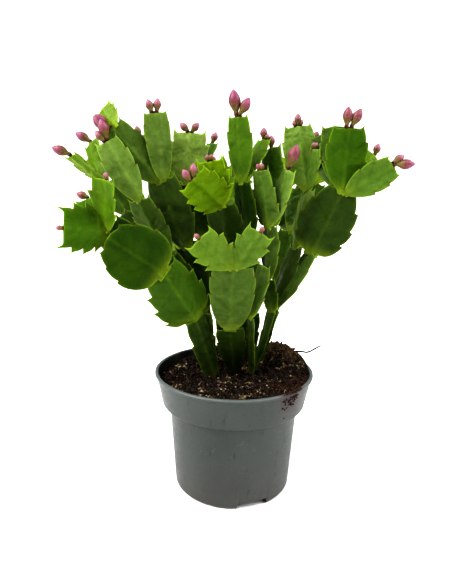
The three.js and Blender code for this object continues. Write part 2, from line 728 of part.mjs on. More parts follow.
// The twig, or with a larger radius and a lead the hole that its end lies in.
const twigSolid = (radius, lead) => {
  const points = TWIG.points.map((p) => new THREE.Vector3(...p));
  points[0].addScaledVector(points[1].clone().sub(points[0]).normalize(), -lead);
  const curve = new THREE.CatmullRomCurve3(points);
  const section = new THREE.Shape();
  for (let i = 0; i < TWIG.sides; i += 1) {
    const angle = (i / TWIG.sides) * 2 * Math.PI;
    const point = [radius * Math.cos(angle), radius * Math.sin(angle)];
    if (i === 0) section.moveTo(...point);
    else section.lineTo(...point);
  }
  section.closePath();
  const options = { steps: TWIG.steps, extrudePath: curve, bevelEnabled: false };
  return toSolid(weld(new THREE.ExtrudeGeometry(section, options)));
};

// ---------------------------------------------------------------- the object

const MATERIALS = {
  pot: new THREE.MeshStandardMaterial({ color: 0x747b7a, roughness: 0.45, metalness: 0 }),
  soil: new THREE.MeshStandardMaterial({ color: 0x2b1a12, roughness: 0.95, metalness: 0 }),
  twig: new THREE.MeshStandardMaterial({ color: 0x5b4634, roughness: 0.8, metalness: 0 }),
  stem: new THREE.MeshStandardMaterial({ color: 0x3f7a1f, roughness: 0.45, metalness: 0 }),
  bud: new THREE.MeshStandardMaterial({ color: 0xc0617c, roughness: 0.5, metalness: 0 }),
};

const cactus = new THREE.Group();

const addPiece = (name, solid, material) => {
  const mesh = new THREE.Mesh(toGeometry(solid), material);
  mesh.name = name;
  cactus.add(mesh);
};

addPiece('pot', buildPot(), MATERIALS.pot);
addPiece('soil', buildSoil(), MATERIALS.soil);
addPiece('root_twig', twigSolid(TWIG.radius, 0), MATERIALS.twig);

Object.entries(STEMS).forEach(([name, stem], i) => {
  const { solid, grown } = growStem(stem, 100 * (i + 1));
  addPiece(`stem_${name}`, solid, MATERIALS.stem);
  for (const [segment, buds] of Object.entries(BUDS)) {
    if (grown[segment]) addPiece(`buds_${segment}`, budGroup(grown[segment], buds), MATERIALS.bud);
  }
});

export default cactus;
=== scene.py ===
"""The look of a potted Christmas cactus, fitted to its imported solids.

The plant grows here from the same table and rules as in the part's source, with finer outlines,
rounded margins, ribs and veins. Lengths in the tables are millimetres and MM turns them into
metres. +Z is up, -Y is the fuller side, and the pot stands on z = 0 about the Z axis.
"""

import math
import random

import bmesh
import bpy
import numpy as np
from mathutils import Matrix, Vector, noise
from mathutils.geometry import delaunay_2d_cdt


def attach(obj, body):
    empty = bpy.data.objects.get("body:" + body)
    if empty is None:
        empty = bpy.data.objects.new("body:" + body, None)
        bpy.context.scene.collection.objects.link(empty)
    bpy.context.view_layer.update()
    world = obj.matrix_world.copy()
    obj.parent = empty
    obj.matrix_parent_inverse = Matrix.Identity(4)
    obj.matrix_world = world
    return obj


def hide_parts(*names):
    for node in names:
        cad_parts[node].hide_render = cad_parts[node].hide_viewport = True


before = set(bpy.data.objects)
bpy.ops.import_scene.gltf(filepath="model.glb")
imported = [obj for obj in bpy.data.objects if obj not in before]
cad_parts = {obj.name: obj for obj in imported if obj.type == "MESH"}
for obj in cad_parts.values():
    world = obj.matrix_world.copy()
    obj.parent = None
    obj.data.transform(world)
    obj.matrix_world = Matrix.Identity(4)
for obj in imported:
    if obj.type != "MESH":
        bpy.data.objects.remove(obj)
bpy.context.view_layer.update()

MM = 0.001

# ---------------------------------------------------------------- sizes

POT = dict(
    height=91, rim=60, collar_top=58.6, collar_foot=54.4, collar_height=24,
    body_top=48.9, base=44.2, wall=1.2, lip=2.2, floor_lift=5.2, floor_top=6.7,
    foot_inner=33, pad=6,
)
NOTCH = dict(count=3, first=-69, half=15)
DRAIN = dict(holes=6, radius=4, circle=20, middle=4, cut=12)
# The heap and the bank are mounds: x, y, height and spread.
SOIL = dict(level=86.5, slope=2.6, swell=2.2, edge=56, heap=(34, 36, 14, 16), bank=(48, 24, 7, 11))
TWIG = dict(
    radius=0.6,
    branches=(12, 22, 31, 40),  # the steps along it where fine roots leave it
    points=[
        (37, 32, 92.6), (44, 36, 93.4), (51, 37, 93.6), (57, 37.5, 93.5),
        (62, 38, 93), (67, 39, 95.5), (73, 40, 98.5),
    ],
)
BLADE = dict(
    edge=0.9, swell=0.55, rib_base=4.2, rib_tip=2.6, rib_width=2.3, rib_taper=0.9,
    vein=0.14, vein_width=1.1, vein_rise=0.24, sink=2.5, root_sink=9,
)
MARGIN = dict(
    stagger=0.05, wander=0.03, rake=0.02, cut=0.025, crown=0.02, unlike=0.4,
    horn_out=0.04, end=0.995, end_width=0.74,
)

# Outline kinds: neck, peak, power, tip, teeth, reach, notch, horn, and how far the blunt end
# bulges between its horns.
KINDS = {
    "shield": (0.3, 0.7, 0.6, 0.82, (0.55, 0.84), 0.03, 0.03, 0.02, 0.01),
    "round": (0.28, 0.45, 0.42, 0.5, (0.5, 0.78), 0.04, 0.04, 0.02, 0.05),
    "scallop": (0.28, 0.45, 0.42, 0.5, (0.22, 0.48, 0.74), 0.06, 0.07, 0.04, 0.05),
    "leaf": (0.24, 0.58, 0.8, 0.7, (0.46, 0.76), 0.07, 0.07, 0.06, 0.012),
    "spiny": (0.32, 0.44, 0.6, 0.84, (0.26, 0.52, 0.78), 0.17, 0.13, 0.2, 0.012),
    "broad": (0.32, 0.44, 0.6, 0.8, (0.26, 0.52, 0.78), 0.15, 0.1, 0.1, 0.015),
    "wedge": (0.4, 0.25, 0.35, 0.62, (0.12, 0.4, 0.66), 0.12, 0.08, 0.08, 0.012),
    "claw": (0.26, 0.6, 0.8, 0.85, (0.42, 0.74), 0.22, 0.12, 0.13, 0.015),
    "strap": (0.42, 0.75, 0.35, 0.85, (0.6,), 0.14, 0.1, 0.03, 0),
    "root": (0.34, 0.85, 0.75, 0.86, (0.7,), 0.08, 0.06, 0.03, 0),
}

# Length, widest radius, radius of the foot, petals, age, and how finely it is drawn: points to a
# step of its profile, and round it.
BUD_SIZES = {
    "large": (15.5, 3.7, 1.7, 7, 1, 2, 20),
    "medium": (12, 3.1, 1.5, 6, 0.72, 2, 20),
    "small": (7.5, 2.5, 1.3, 4, 0.3, 1, 20),
    "bead": (3.2, 1.7, 1.2, 2, 0, 1, 12),
}

# ---------------------------------------------------------------- the plant, as a table
#
# Name, parent, length, width, lean, toward, turn, kind, age, bloom, and what else bends it. The
# age goes from 0, an old dark segment, to 1, a young bright one. The bloom is its pale wax, and
# a painted sheen with it.

STEMS = {
    "front_left": ((-15, -6), [
        ("a1", None, 54, 17, -15, 18, -35, "strap", 0.1, 0.12),
        ("a2", "a1", 46, 38, -28, 26, -19, "wedge", 0.42, 0.1, {"fold": -0.35}),
        ("a3", "a2", 40, 42, -55, 14, 0, "round", 0.2, 0, {"cup": 0.12}),
        ("a4", "a2", 44, 29, -50, 4, 0, "leaf", 0.2, 0.12, {"shift": -1}),
        ("a5", "a4", 28, 29, -86, 34, 0, "spiny", 0.52, 0.03, {"cup": -0.1}),
        ("a6", "a4", 33, 20, 5, 21, 28, "claw", 0.62, 0.1, {"fold": 0.35}),
        ("a7", "a4", 25, 20, -38, -20, -45, "claw", 0.5, 0.12),
    ]),
    "left": ((-19, 15), [
        ("b1", None, 49, 16, -6, 11, 35, "strap", 0.05, 0.12),
        ("b2", "b1", 52, 25, -14, 9, 15, "leaf", 0.02, 0.1),
        ("b3", "b2", 52, 29, -19, 13, 15, "leaf", 0.12, 0.2, {"bow": 0.03}),
        ("b4", "b3", 45, 24, -41, 15, -12, "leaf", 0.26, 0.3, {"shift": -2, "bow": 0.04}),
        ("b5", "b3", 41, 24, -32, -32, 10, "leaf", 0.25, 0.2),
        ("b6", "b3", 43, 18, -6, 8, -25, "shield", 0.36, 0.5, {"shift": 2}),
        ("b7", "b4", 17, 16, -42, -30, 10, "claw", 0.78, 0.35, {"shift": 3}),
        ("c1", "b1", 52, 22, -29, 17, 10, "leaf", 0.1, 0.12, {"shift": -1}),
        ("c2", "c1", 47, 22, -23, 20, 20, "leaf", 0.25, 0.3),
        ("c3", "c2", 42, 20, -26, 14, -15, "leaf", 0.52, 0.65, {"bow": 0.05}),
        ("c4", "c1", 41, 28, -41, -14, 0, "leaf", 0.15, 0.12, {"shift": -1}),
        ("c5", "c4", 28, 20, -39, 12, 0, "leaf", 0.4, 0.25),
        ("c6", "c5", 30, 16, -47, 28, 50, "claw", 0.8, 0.12),
        ("c7", "c5", 35, 18, -26, -24, 30, "claw", 0.7, 0.12),
        ("c8", "c1", 44, 27, -52, -6, 0, "leaf", 0.05, 0.12, {"shift": -3}),
    ]),
    "centre": ((-3, 30), [
        ("d1", None, 51, 18, -5, 21, 20, "strap", 0.05, 0.12),
        ("d2", "d1", 48, 23, 2, 8, 24, "leaf", 0.05, 0.12),
        ("d3", "d2", 40, 25, -9, 33, 14, "leaf", 0.12, 0.12),
        ("d4", "d3", 36, 26, -47, 47, 0, "broad", 0.82, 0.03, {"cup": 0.15}),
        ("d5", "d3", 31, 21, -16, 18, 20, "claw", 0.95, 0.03),
        ("d6", "d1", 57, 26, -17, -6, 0, "leaf", 0.05, 0.2, {"shift": -2}),
        ("d7", "d6", 43, 25, -16, 5, 0, "leaf", 0.05, 0.12),
        ("d8", "d7", 35, 28, 3, 6, 0, "broad", 0.75, 1),
        ("d9", "d7", 36, 18, 30, -20, 55, "leaf", 0.4, 0.12),
    ]),
    "front": ((0.8, 3), [
        ("h1", None, 47, 21, -6, 28, 0, "root", 0.08, 0.12),
        ("h2", "h1", 50, 31, 2, 19, 0, "shield", 0.25, 0.35),
        ("h3", "h2", 33, 23, -45, 31, 0, "claw", 0.66, 0.35, {"shift": -1.5, "cup": 0.1}),
        ("h4", "h2", 33, 20, 31, 29, 0, "claw", 0.56, 0.35, {"shift": 1.5, "cup": 0.1}),
    ]),
    "middle": ((10.6, 26), [
        ("e1", None, 49, 16, 2, 24, 25, "strap", 0.05, 0.12),
        ("e2", "e1", 53, 19, -3, 13, 52, "leaf", 0.05, 0.12),
        ("e3", "e2", 45, 20, -9, 10, 46, "leaf", 0.12, 0),
        ("e4", "e3", 42, 19, -5, 6, 30, "leaf", 0.56, 0.1),
        ("e5", "e3", 36, 16, 27, -25, 50, "leaf", 0.66, 0.1),
    ]),
    "front_right": ((13.4, -1), [
        ("j1", None, 53, 11, -3, 20, 60, "strap", 0.1, 0.12),
        ("j2", "j1", 38, 20, 12, 3, 60, "leaf", 0.15, 0.3),
    ]),
    "right_centre": ((16.5, 9), [
        ("f1", None, 53, 10, 12, 16.5, 60, "strap", 0.25, 0.12),
        ("f2", "f1", 24, 14, -10, 5, 40, "strap", 0.15, 0.12),
        ("f3", "f2", 39, 20, 0, 6, 55, "leaf", 0.12, 0.3),
        ("f4", "f3", 39, 20, -12, 11, 40, "wedge", 0.34, 0.4),
        ("f5", "f3", 40, 22, 15, 11, 64, "leaf", 0.4, 0.5),
        ("f6", "f3", 56, 22, 0, -17, 45, "leaf", 0.5, 0.12),
    ]),
    "right": ((20, 15), [
        ("g1", None, 51, 10, 12, 16, 60, "strap", 0.2, 0.2),
        ("g2", "g1", 49, 19, 29, 7, 66, "leaf", 0.2, 0.4),
        ("g3", "g2", 48, 39, 23, 7, 0, "scallop", 0.08, 0.12, {"cup": -0.08}),
        ("g4", "g3", 41, 28, 0, 8, 0, "leaf", 0.45, 0.02, {"cup": 0.08}),
        ("g5", "g3", 35, 20, 55, 27, 0, "leaf", 0.5, 0.3, {"fold": 0.4, "shift": 3}),
        ("g6", "g3", 38, 22, 43, -25, 0, "leaf", 0.7, 0.1),
        ("g7", "g3", 49, 24, -6, -24, 0, "leaf", 0.3, 0.12),
        ("g8", "g3", 47, 22, -17, -32, 0, "leaf", 0.2, 0.12, {"shift": -2}),
        ("m1", "g1", 46, 22, 18, -7, 64, "leaf", 0.1, 0.4, {"shift": -2}),
        ("m2", "m1", 43, 22, 10, 0, 66, "leaf", 0.4, 0.8),
        ("m3", "m2", 29, 18, 6, 3, 66, "leaf", 0.5, 0.4),
        ("m4", "m2", 47, 26, -9, -12, 0, "leaf", 0.55, 0.5, {"shift": -2}),
    ]),
    "back_right": ((24, 36), [
        ("k1", None, 50, 12, 14, -8, 45, "strap", 0.1, 0.12),
        ("k2", "k1", 48, 26, 11, -14, -10, "leaf", 0.12, 0.12),
        ("k3", "k2", 46, 27, 24, -12, 10, "leaf", 0.15, 0.1),
        ("k4", "k3", 38, 24, 36, -8, 15, "claw", 0.7, 0.12),
        ("k5", "k3", 38, 24, 0, -24, -10, "claw", 0.75, 0.12),
        ("k6", "k2", 44, 26, -12, -36, 0, "leaf", 0.05, 0),
        ("k7", "k6", 34, 24, 20, -38, 0, "claw", 0.8, 0.12),
    ]),
    "back_left": ((-24, 34), [
        ("l1", None, 50, 17, -6, -8, -20, "strap", 0.1, 0.12),
        ("l2", "l1", 48, 27, -24, -14, 10, "leaf", 0.12, 0.12),
        ("l3", "l2", 45, 26, -10, -14, 0, "leaf", 0.3, 0.4),
        ("l4", "l3", 38, 24, -35, -18, 10, "claw", 0.75, 0.12),
        ("l5", "l3", 38, 22, 10, -8, -25, "claw", 0.6, 0.12),
        ("l6", "l2", 42, 27, -52, -32, 0, "leaf", 0.4, 0.4),
        ("l7", "l6", 32, 24, -50, -10, 0, "claw", 0.8, 0.12),
    ]),
    "back": ((-6, 46), [
        ("n1", None, 50, 18, -2, -10, 0, "strap", 0.1, 0.12),
        ("n2", "n1", 48, 29, -8, -20, 0, "leaf", 0.15, 0.12),
        ("n3", "n2", 38, 27, 6, -10, 0, "leaf", 0.3, 0.4),
        ("n4", "n3", 34, 25, -22, -14, 0, "claw", 0.6, 0.12),
        ("n5", "n3", 34, 24, 28, -20, 0, "claw", 0.75, 0.12),
        ("n6", "n2", 42, 27, 30, -42, 0, "leaf", 0.4, 0.4),
        ("n7", "n6", 30, 26, 10, -58, 0, "claw", 0.85, 0.12),
    ]),
}

# The buds on a segment's tip: size, lean, toward, and shift along the tip.
BUDS = {
    "a5": [("bead", -90, 20, 0)],
    "a6": [("bead", 0, 20, 0)],
    "a7": [("small", -70, 0, 0)],
    "b4": [("medium", -38, -6, -4), ("medium", -46, 38, -1)],
    "b5": [("small", -10, 0, 0)],
    "b6": [("small", -15, 0, -2.4), ("small", 4, 5, 1.6)],
    "c3": [("medium", -14, 10, 1), ("small", -40, 0, -1.6)],
    "c6": [("medium", -66, 10, 0)],
    "c7": [("medium", -58, 0, 0)],
    "d4": [("small", -35, 20, -1.6), ("small", 5, 10, 1.8)],
    "d5": [("bead", -15, 0, -1), ("bead", 15, 0, 1.2)],
    "d8": [("small", -45, 0, -1.8), ("small", 40, 0, 1.8)],
    "d9": [("small", 20, 0, 0)],
    "e4": [("large", -9, 5, -1), ("medium", 34, 5, 1.8)],
    "e5": [("small", 0, 0, -1), ("bead", 30, 0, 1.5)],
    "f4": [("bead", -30, 10, -1.2), ("bead", 0, 20, 1.2)],
    "f5": [("large", 20, 8, 0)],
    "f6": [("small", 0, 0, 0)],
    "g4": [("medium", 4, 5, -1.6), ("medium", 26, 5, 2)],
    "g5": [("medium", 92, 10, 0), ("small", 55, 0, -1.8)],
    "g6": [("small", 20, 0, 0)],
    "k4": [("medium", 40, -10, 0)],
    "k5": [("small", -20, -30, -1.6), ("small", 20, -30, 1.6)],
    "k7": [("bead", 0, -30, 0)],
    "l4": [("large", -40, -20, 0)],
    "l5": [("small", 0, -15, 0)],
    "l7": [("medium", -60, -10, 0)],
    "n4": [("medium", -30, -20, -1), ("bead", 10, -20, 1.5)],
    "n5": [("large", 30, -30, 0)],
    "n7": [("small", 0, -70, 0)],
    "h3": [("bead", -40, 10, 0)],
    "h4": [("bead", 15, 10, 0)],
    "m3": [("bead", -10, 0, -1), ("bead", 15, 10, 1)],
    "m4": [("bead", -30, 0, -2), ("small", 0, 0, 0), ("bead", 30, 0, 2)],
}

# ---------------------------------------------------------------- meshes


class Build:
    """Collects triangles and per-vertex attributes in millimetres, and makes one piece of them."""

    def __init__(self):
        self.vertices = []
        self.faces = []
        self.attributes = {}
        self.count = 0

    def add(self, vertices, faces, **attributes):
        self.vertices.append(np.asarray(vertices, float))
        self.faces.append(np.asarray(faces, int) + self.count)
        self.count += len(vertices)
        for name, values in attributes.items():
            self.attributes.setdefault(name, []).append(np.asarray(values, float))

    def piece(self, name, material, slot, *nodes):
        mesh = bpy.data.meshes.new(name)
        vertices = np.concatenate(self.vertices) * MM
        faces = [face for block in self.faces for face in block.tolist()]
        mesh.from_pydata(vertices.tolist(), [], faces)
        for attribute, blocks in self.attributes.items():
            layer = mesh.attributes.new(attribute, "FLOAT_COLOR", "POINT")
            layer.data.foreach_set("color", np.concatenate(blocks).astype(np.float32).ravel())
        return place_piece(name, mesh, material, slot, *nodes)


def linked(name, data):
    thing = bpy.data.objects.new(name, data)
    bpy.context.scene.collection.objects.link(thing)
    return thing


def place_piece(name, mesh, material, slot, *nodes):
    mesh.polygons.foreach_set("use_smooth", [True] * len(mesh.polygons))
    mesh.materials.append(material)
    piece = linked(name, mesh)
    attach(piece, "root")
    if nodes:
        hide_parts(*nodes)
    return piece


def weld(mesh, distance):
    """Joins points that lie together, and turns the faces outwards."""
    work = bmesh.new()
    work.from_mesh(mesh)
    bmesh.ops.remove_doubles(work, verts=work.verts, dist=distance)
    bmesh.ops.recalc_face_normals(work, faces=work.faces)
    work.to_mesh(mesh)
    work.free()


def grid_quads(rows, columns):
    """Four-sided faces of rows of points, where each row is a closed ring."""
    quads = []
    for r in range(rows - 1):
        for c in range(columns):
            a, b = r * columns + c, r * columns + (c + 1) % columns
            quads.append((a, b, b + columns, a + columns))
    return quads


def grid_faces(rows, columns):
    """The same faces, cut into triangles."""
    return [face for a, b, c, d in grid_quads(rows, columns) for face in ((a, b, c), (a, c, d))]


def ring(radius, z, columns):
    """Points round the Z axis."""
    angles = [math.tau * c / columns for c in range(columns)]
    return [(radius * math.cos(angle), radius * math.sin(angle), z) for angle in angles]


def smooth_path(points, steps):
    """Points of a smooth curve through the given ones."""
    path = []
    last = len(points) - 1
    for i in range(last):
        p0, p1, p2, p3 = (points[min(max(i + k, 0), last)] for k in (-1, 0, 1, 2))
        for f in (k / steps for k in range(steps)):
            path.append(0.5 * (2 * p1 + (p2 - p0) * f + (2 * p0 - 5 * p1 + 4 * p2 - p3) * f**2
                               + (3 * p1 - p0 - 3 * p2 + p3) * f**3))
    return path + [points[-1]]


def smoothstep(x):
    x = np.clip(x, 0, 1)
    return x * x * (3 - 2 * x)


# ---------------------------------------------------------------- segments


def draws(seed):
    """Repeatable draws from -0.5 to 0.5, the same as the part's source makes."""
    state = seed * 7919 + 17

    def draw():
        nonlocal state
        state = state * 16807 % 2147483647
        return state / 2147483647 - 0.5

    return draw


def direction_of(lean, toward):
    a, b = math.radians(lean), math.radians(toward)
    return np.array([math.sin(a) * math.cos(b), -math.sin(b), math.cos(a) * math.cos(b)])


def axes_of(lean, toward, turn):
    along = direction_of(lean, toward)
    level = np.cross([0, 1, 0], along)
    level /= np.linalg.norm(level)
    angle = -math.radians(turn)
    across = level * math.cos(angle) + np.cross(along, level) * math.sin(angle)
    return along, across, np.cross(across, along)


def envelope(kind, s):
    neck, peak, power, tip = kind[:4]
    s = min(s, 1)
    if s < peak:
        return neck + (1 - neck) * math.sin(math.pi / 2 * max(s, 0) / peak) ** power
    return 1 - (1 - tip) * ((s - peak) / (1 - peak)) ** 2


def lobe(kind, start, end, steps, flick):
    """Points from a notch to a tooth's tip: the smooth outline, and a flick to the point."""
    gap_start = start[1] - envelope(kind, start[0])
    gap_end = end[1] - envelope(kind, end[0])
    points = []
    for i in range(1, steps + 1):
        u = i / steps
        s = start[0] + (end[0] - start[0]) * u
        x = envelope(kind, s) + gap_start * (1 - u) ** 3 + gap_end * u**flick
        x += MARGIN["crown"] * math.sin(math.pi * u)
        points.append((s, x))
    return points


def margin_of(kind, neck_place, draw, stagger):
    """One margin as [along, across] points, and the places of its notches and end."""
    neck, _, _, tip, teeth, reach, notch, horn, cap = kind
    points = [(neck_place, neck), (0, neck)]
    notches = []
    for place in teeth:
        s = place + stagger + MARGIN["wander"] * draw()
        point = (s + MARGIN["rake"], envelope(kind, s) + reach * (1 + MARGIN["unlike"] * draw()))
        root = (s + MARGIN["cut"], envelope(kind, s) - notch)
        points += lobe(kind, points[-1], point, 18, 4)
        for u in (0.3, 0.65, 1):
            points.append((point[0] + (root[0] - point[0]) * u, point[1] + (root[1] - point[1]) * u**0.8))
        notches.append(root)
    horn_tip = (1 + horn, tip + MARGIN["horn_out"])
    points += lobe(kind, points[-1], horn_tip, 14, 3)
    root = (MARGIN["end"], tip * MARGIN["end_width"])
    for u in (i / 5 for i in range(1, 6)):
        along = root[0] + (horn_tip[0] - root[0]) * (1 - u) ** 2
        points.append((along, horn_tip[1] + (root[1] - horn_tip[1]) * u))
    for u in (i / 8 for i in range(1, 8)):
        points.append((root[0] + cap * math.sin(math.pi / 2 * u) ** 0.8, root[1] * (1 - u)))
    return points, notches


def distance_to_loop(points, loop):
    """Distance from each point to a closed polyline."""
    a = loop
    b = np.roll(loop, -1, axis=0)
    edge = b - a
    length = np.maximum((edge**2).sum(axis=1), 1e-12)
    best = np.full(len(points), 1e9)
    for start, vector, square in zip(a, edge, length):
        offset = points - start
        t = np.clip(offset @ vector / square, 0, 1)
        gap = offset - t[:, None] * vector
        best = np.minimum(best, (gap**2).sum(axis=1))
    return np.sqrt(best)


def inside_loop(points, loop):
    a = loop
    b = np.roll(loop, -1, axis=0)
    x, y = points[:, 0], points[:, 1]
    within = np.zeros(len(points), bool)
    for (ax, ay), (bx, by) in zip(a, b):
        if ay == by:
            continue
        crosses = (ay > y) != (by > y)
        within ^= crosses & (x < (bx - ax) * (y - ay) / (by - ay) + ax)
    return within


STEP = 1.6  # spacing of a segment's inner points
INSETS = (0.3, 0.8)  # distances from the margin of the points that round it
RIB_POINTS = np.array([0, 0.7, 1.4, 2.2])  # distances from the midline of the points on the rib
RIB_CLEAR = 2.9  # the other points keep this far from the midline


def flat_segment(loop, half):
    """Triangulates an outline: 2-D points in millimetres, triangles, distances to the margin."""
    xs = np.arange(-half * 1.3, half * 1.3 + STEP, STEP)
    xs = np.concatenate([xs[np.abs(xs) > RIB_CLEAR], RIB_POINTS, -RIB_POINTS[1:]])
    ys = np.arange(loop[:, 1].min(), loop[:, 1].max() + STEP, STEP)
    grid = np.array([(x, y) for y in ys for x in xs])
    centre = np.roll(loop, -1, axis=0) - np.roll(loop, 1, axis=0)
    normal = np.stack([-centre[:, 1], centre[:, 0]], axis=1)
    normal /= np.maximum(np.linalg.norm(normal, axis=1), 1e-9)[:, None]
    inner = [loop]
    for inset in INSETS:
        band = loop + normal * inset
        keep = inside_loop(band, loop) & (distance_to_loop(band, loop) > inset * 0.8)
        inner.append(band[keep])
    grid = grid[inside_loop(grid, loop)]
    grid = grid[distance_to_loop(grid, loop) > INSETS[-1] + 0.5]
    points = np.concatenate(inner + [grid])
    edges = [(i, (i + 1) % len(loop)) for i in range(len(loop))]
    found = delaunay_2d_cdt([Vector(p) for p in points], edges, [], 1, 1e-5, False)
    flat = np.array([(v.x, v.y) for v in found[0]])
    triangles = np.array([f for f in found[2] if len(f) == 3], int)
    triangles = triangles[inside_loop(flat[triangles].mean(axis=1), loop)]
    a, b, c = (flat[triangles[:, k]] for k in range(3))
    turn = (b[:, 0] - a[:, 0]) * (c[:, 1] - a[:, 1]) - (b[:, 1] - a[:, 1]) * (c[:, 0] - a[:, 0])
    triangles[turn < 0] = triangles[turn < 0][:, ::-1]
    used = np.unique(triangles)
    renumber = np.full(len(flat), -1)
    renumber[used] = np.arange(len(used))
    return flat[used], renumber[triangles], distance_to_loop(flat[used], loop)


def border_edges(triangles):
    """Directed edges that belong to one triangle only."""
    edges = np.concatenate([triangles[:, [0, 1]], triangles[:, [1, 2]], triangles[:, [2, 0]]])
    seen = {(a, b) for a, b in edges.tolist()}
    return [(a, b) for a, b in edges.tolist() if (b, a) not in seen]


def hump(distance, width):
    """1 at no distance, and less over the width."""
    return np.exp(-((distance / width) ** 2))


def grow_segment(build, base, rooted, shape, options, seed):
    """One segment with its outline, thickness, bends and what its material reads."""
    length, width, lean, toward, turn, kind_name, age, wax_and_sheen = shape
    kind = KINDS[kind_name]
    along, across, facing = axes_of(lean, toward, turn)
    bow, cup, fold = (options.get(k, 0) for k in ("bow", "cup", "fold"))
    draw = draws(seed)
    half = width / 2

    # the outline
    start = -(BLADE["root_sink"] if rooted else BLADE["sink"]) / length
    stagger = MARGIN["stagger"] * draw()
    right, right_notches = margin_of(kind, start, draw, stagger)
    left, left_notches = margin_of(kind, start, draw, -stagger)
    loop = right + [(MARGIN["end"] + kind[8], 0)] + [(s, -x) for s, x in reversed(left)]
    loop = np.array([(x * half, s * length) for s, x in loop])
    flat, triangles, gap = flat_segment(loop, half)

    # half of the thickness: a thin margin, a fuller body, the midrib and the veins
    count = len(flat)
    x, s = flat[:, 0] / half, flat[:, 1] / length
    share = np.clip(s, 0, 1)
    rise = np.clip(s, 0, None) * length
    rib = hump(flat[:, 0], BLADE["rib_width"] - BLADE["rib_taper"] * share)
    rib_height = (BLADE["rib_base"] + (BLADE["rib_tip"] - BLADE["rib_base"]) * share) / 2
    body = BLADE["edge"] / 2 + BLADE["swell"] * smoothstep(gap / (0.75 * half))
    thick = body + np.clip(rib_height - body, 0, None) * np.maximum(rib, 0.55 * hump(rise, 3.5))
    veins, areole = np.zeros(count), np.zeros(count)
    for side, notches in ((1, right_notches), (-1, left_notches)):
        for place, reach in notches + [(1.0, 0.5 * kind[3])]:
            end = np.array([side * reach * half, place * length])
            root = np.array([0, (place - BLADE["vein_rise"]) * length])
            vector = end - root
            t = np.clip((flat - root) @ vector / (vector @ vector), 0, 1)
            away = np.linalg.norm(flat - root - t[:, None] * vector, axis=1)
            veins = np.maximum(veins, hump(away, BLADE["vein_width"]) * (1 - 0.5 * t))
            if place < 1:
                areole = np.maximum(areole, hump(np.linalg.norm(flat - end, axis=1), 0.8))
    thick = thick + BLADE["vein"] * veins * smoothstep(gap / 2)
    rounding = np.sqrt(np.clip(1 - (1 - np.clip(gap / INSETS[-1], 0, 1)) ** 2, 0.03, 1))
    thick = thick * rounding

    # bowed, cupped, folded and rippled
    phase = 6.28 * (draw() + 0.5)
    if kind_name == "leaf":
        fold -= 0.09
    cup += 0.08 * draw()
    ripple = 0.35 * np.sin(s * 9 + phase) + 0.25 * np.sin(s * 17 + 2 * phase + 3 * x)
    warp = ripple * np.abs(x) ** 1.5 * min(1, half / 10)
    forward = bow * 4 * s * (1 - s) * length + half * (cup * x * x + fold * np.abs(x)) + warp
    spine = base + np.outer(s * length, along) + np.outer(x * half, across)
    front = spine + np.outer(forward + thick, facing)
    back = spine + np.outer(forward - thick, facing)

    faces = np.concatenate([triangles, triangles[:, ::-1] + count])
    sides = []
    for a, b in border_edges(triangles):
        sides.append((a, a + count, b + count))
        sides.append((a, b + count, b))
    faces = np.concatenate([faces, np.array(sides)])
    # what its material reads, on both sides
    tint, ones = draw() + 0.5, np.ones(count)
    edge = np.exp(-gap / 0.45)
    earth = smoothstep(1 - s * length / 9) if rooted else np.zeros(count)
    # light and dark bands along the blade: painted shading of its curves
    shade_bands = np.sin(x * 5 + phase) * 0.5 + np.sin(x * 11 + 2 * phase + s) * 0.3
    looks = dict(
        leaf=(share, rib * rounding, edge, ones * age),
        spot=(ones * tint, hump(rise, 5), areole, veins),
        # the bloom: its pale wax, and a painted sheen with it
        sheen=(ones * wax_and_sheen, 0.5 + 0.5 * shade_bands, earth, ones),
    )
    both = {k: np.tile(np.stack(values, axis=1), (2, 1)) for k, values in looks.items()}
    build.add(np.concatenate([front, back]), faces, **both)
    return dict(tip=base + along * length, along=along, across=across, facing=facing)


def mound_height(mound, x, y):
    centre_x, centre_y, height, spread = mound
    distance = (x - centre_x) ** 2 + (y - centre_y) ** 2
    return height * np.exp(-distance / (2 * spread ** 2))


def ground_height(x, y):
    """Height of the soil without its crumbs, as in the part's source."""
    fall = 1 - np.minimum(1, np.hypot(x, y) / SOIL["edge"]) ** 8
    mounds = mound_height(SOIL["heap"], x, y) * fall + mound_height(SOIL["bank"], x, y)
    swell = SOIL["swell"] * np.maximum(0, x / POT["rim"]) ** 2
    return SOIL["level"] + SOIL["slope"] * (x / POT["rim"]) + swell + mounds


def grow_stem(stem, seed, build):
    """All the segments of a stem, each on its parent's tip or, the first one, in the soil."""
    (x, y), rows = stem
    grown = {}
    for i, (name, parent_name, *shape) in enumerate(rows):
        options = shape.pop() if isinstance(shape[-1], dict) else {}
        parent = grown.get(parent_name)
        if parent:
            base = parent["tip"] + parent["across"] * options.get("shift", 0)
        else:
            base = np.array([x, y, ground_height(x, y)], float)
        grown[name] = grow_segment(build, base, not parent, shape, options, seed + i)
    return grown


# ---------------------------------------------------------------- buds

GAP = 0.3  # from a segment's tip to a bud's foot
CUSHION = 1.1  # how far the beads at the foot reach past the outer buds
SCALES = dict(count=5, turn=1.26, lean=0.35, out=0.62, down=0.55, climb=0.2)

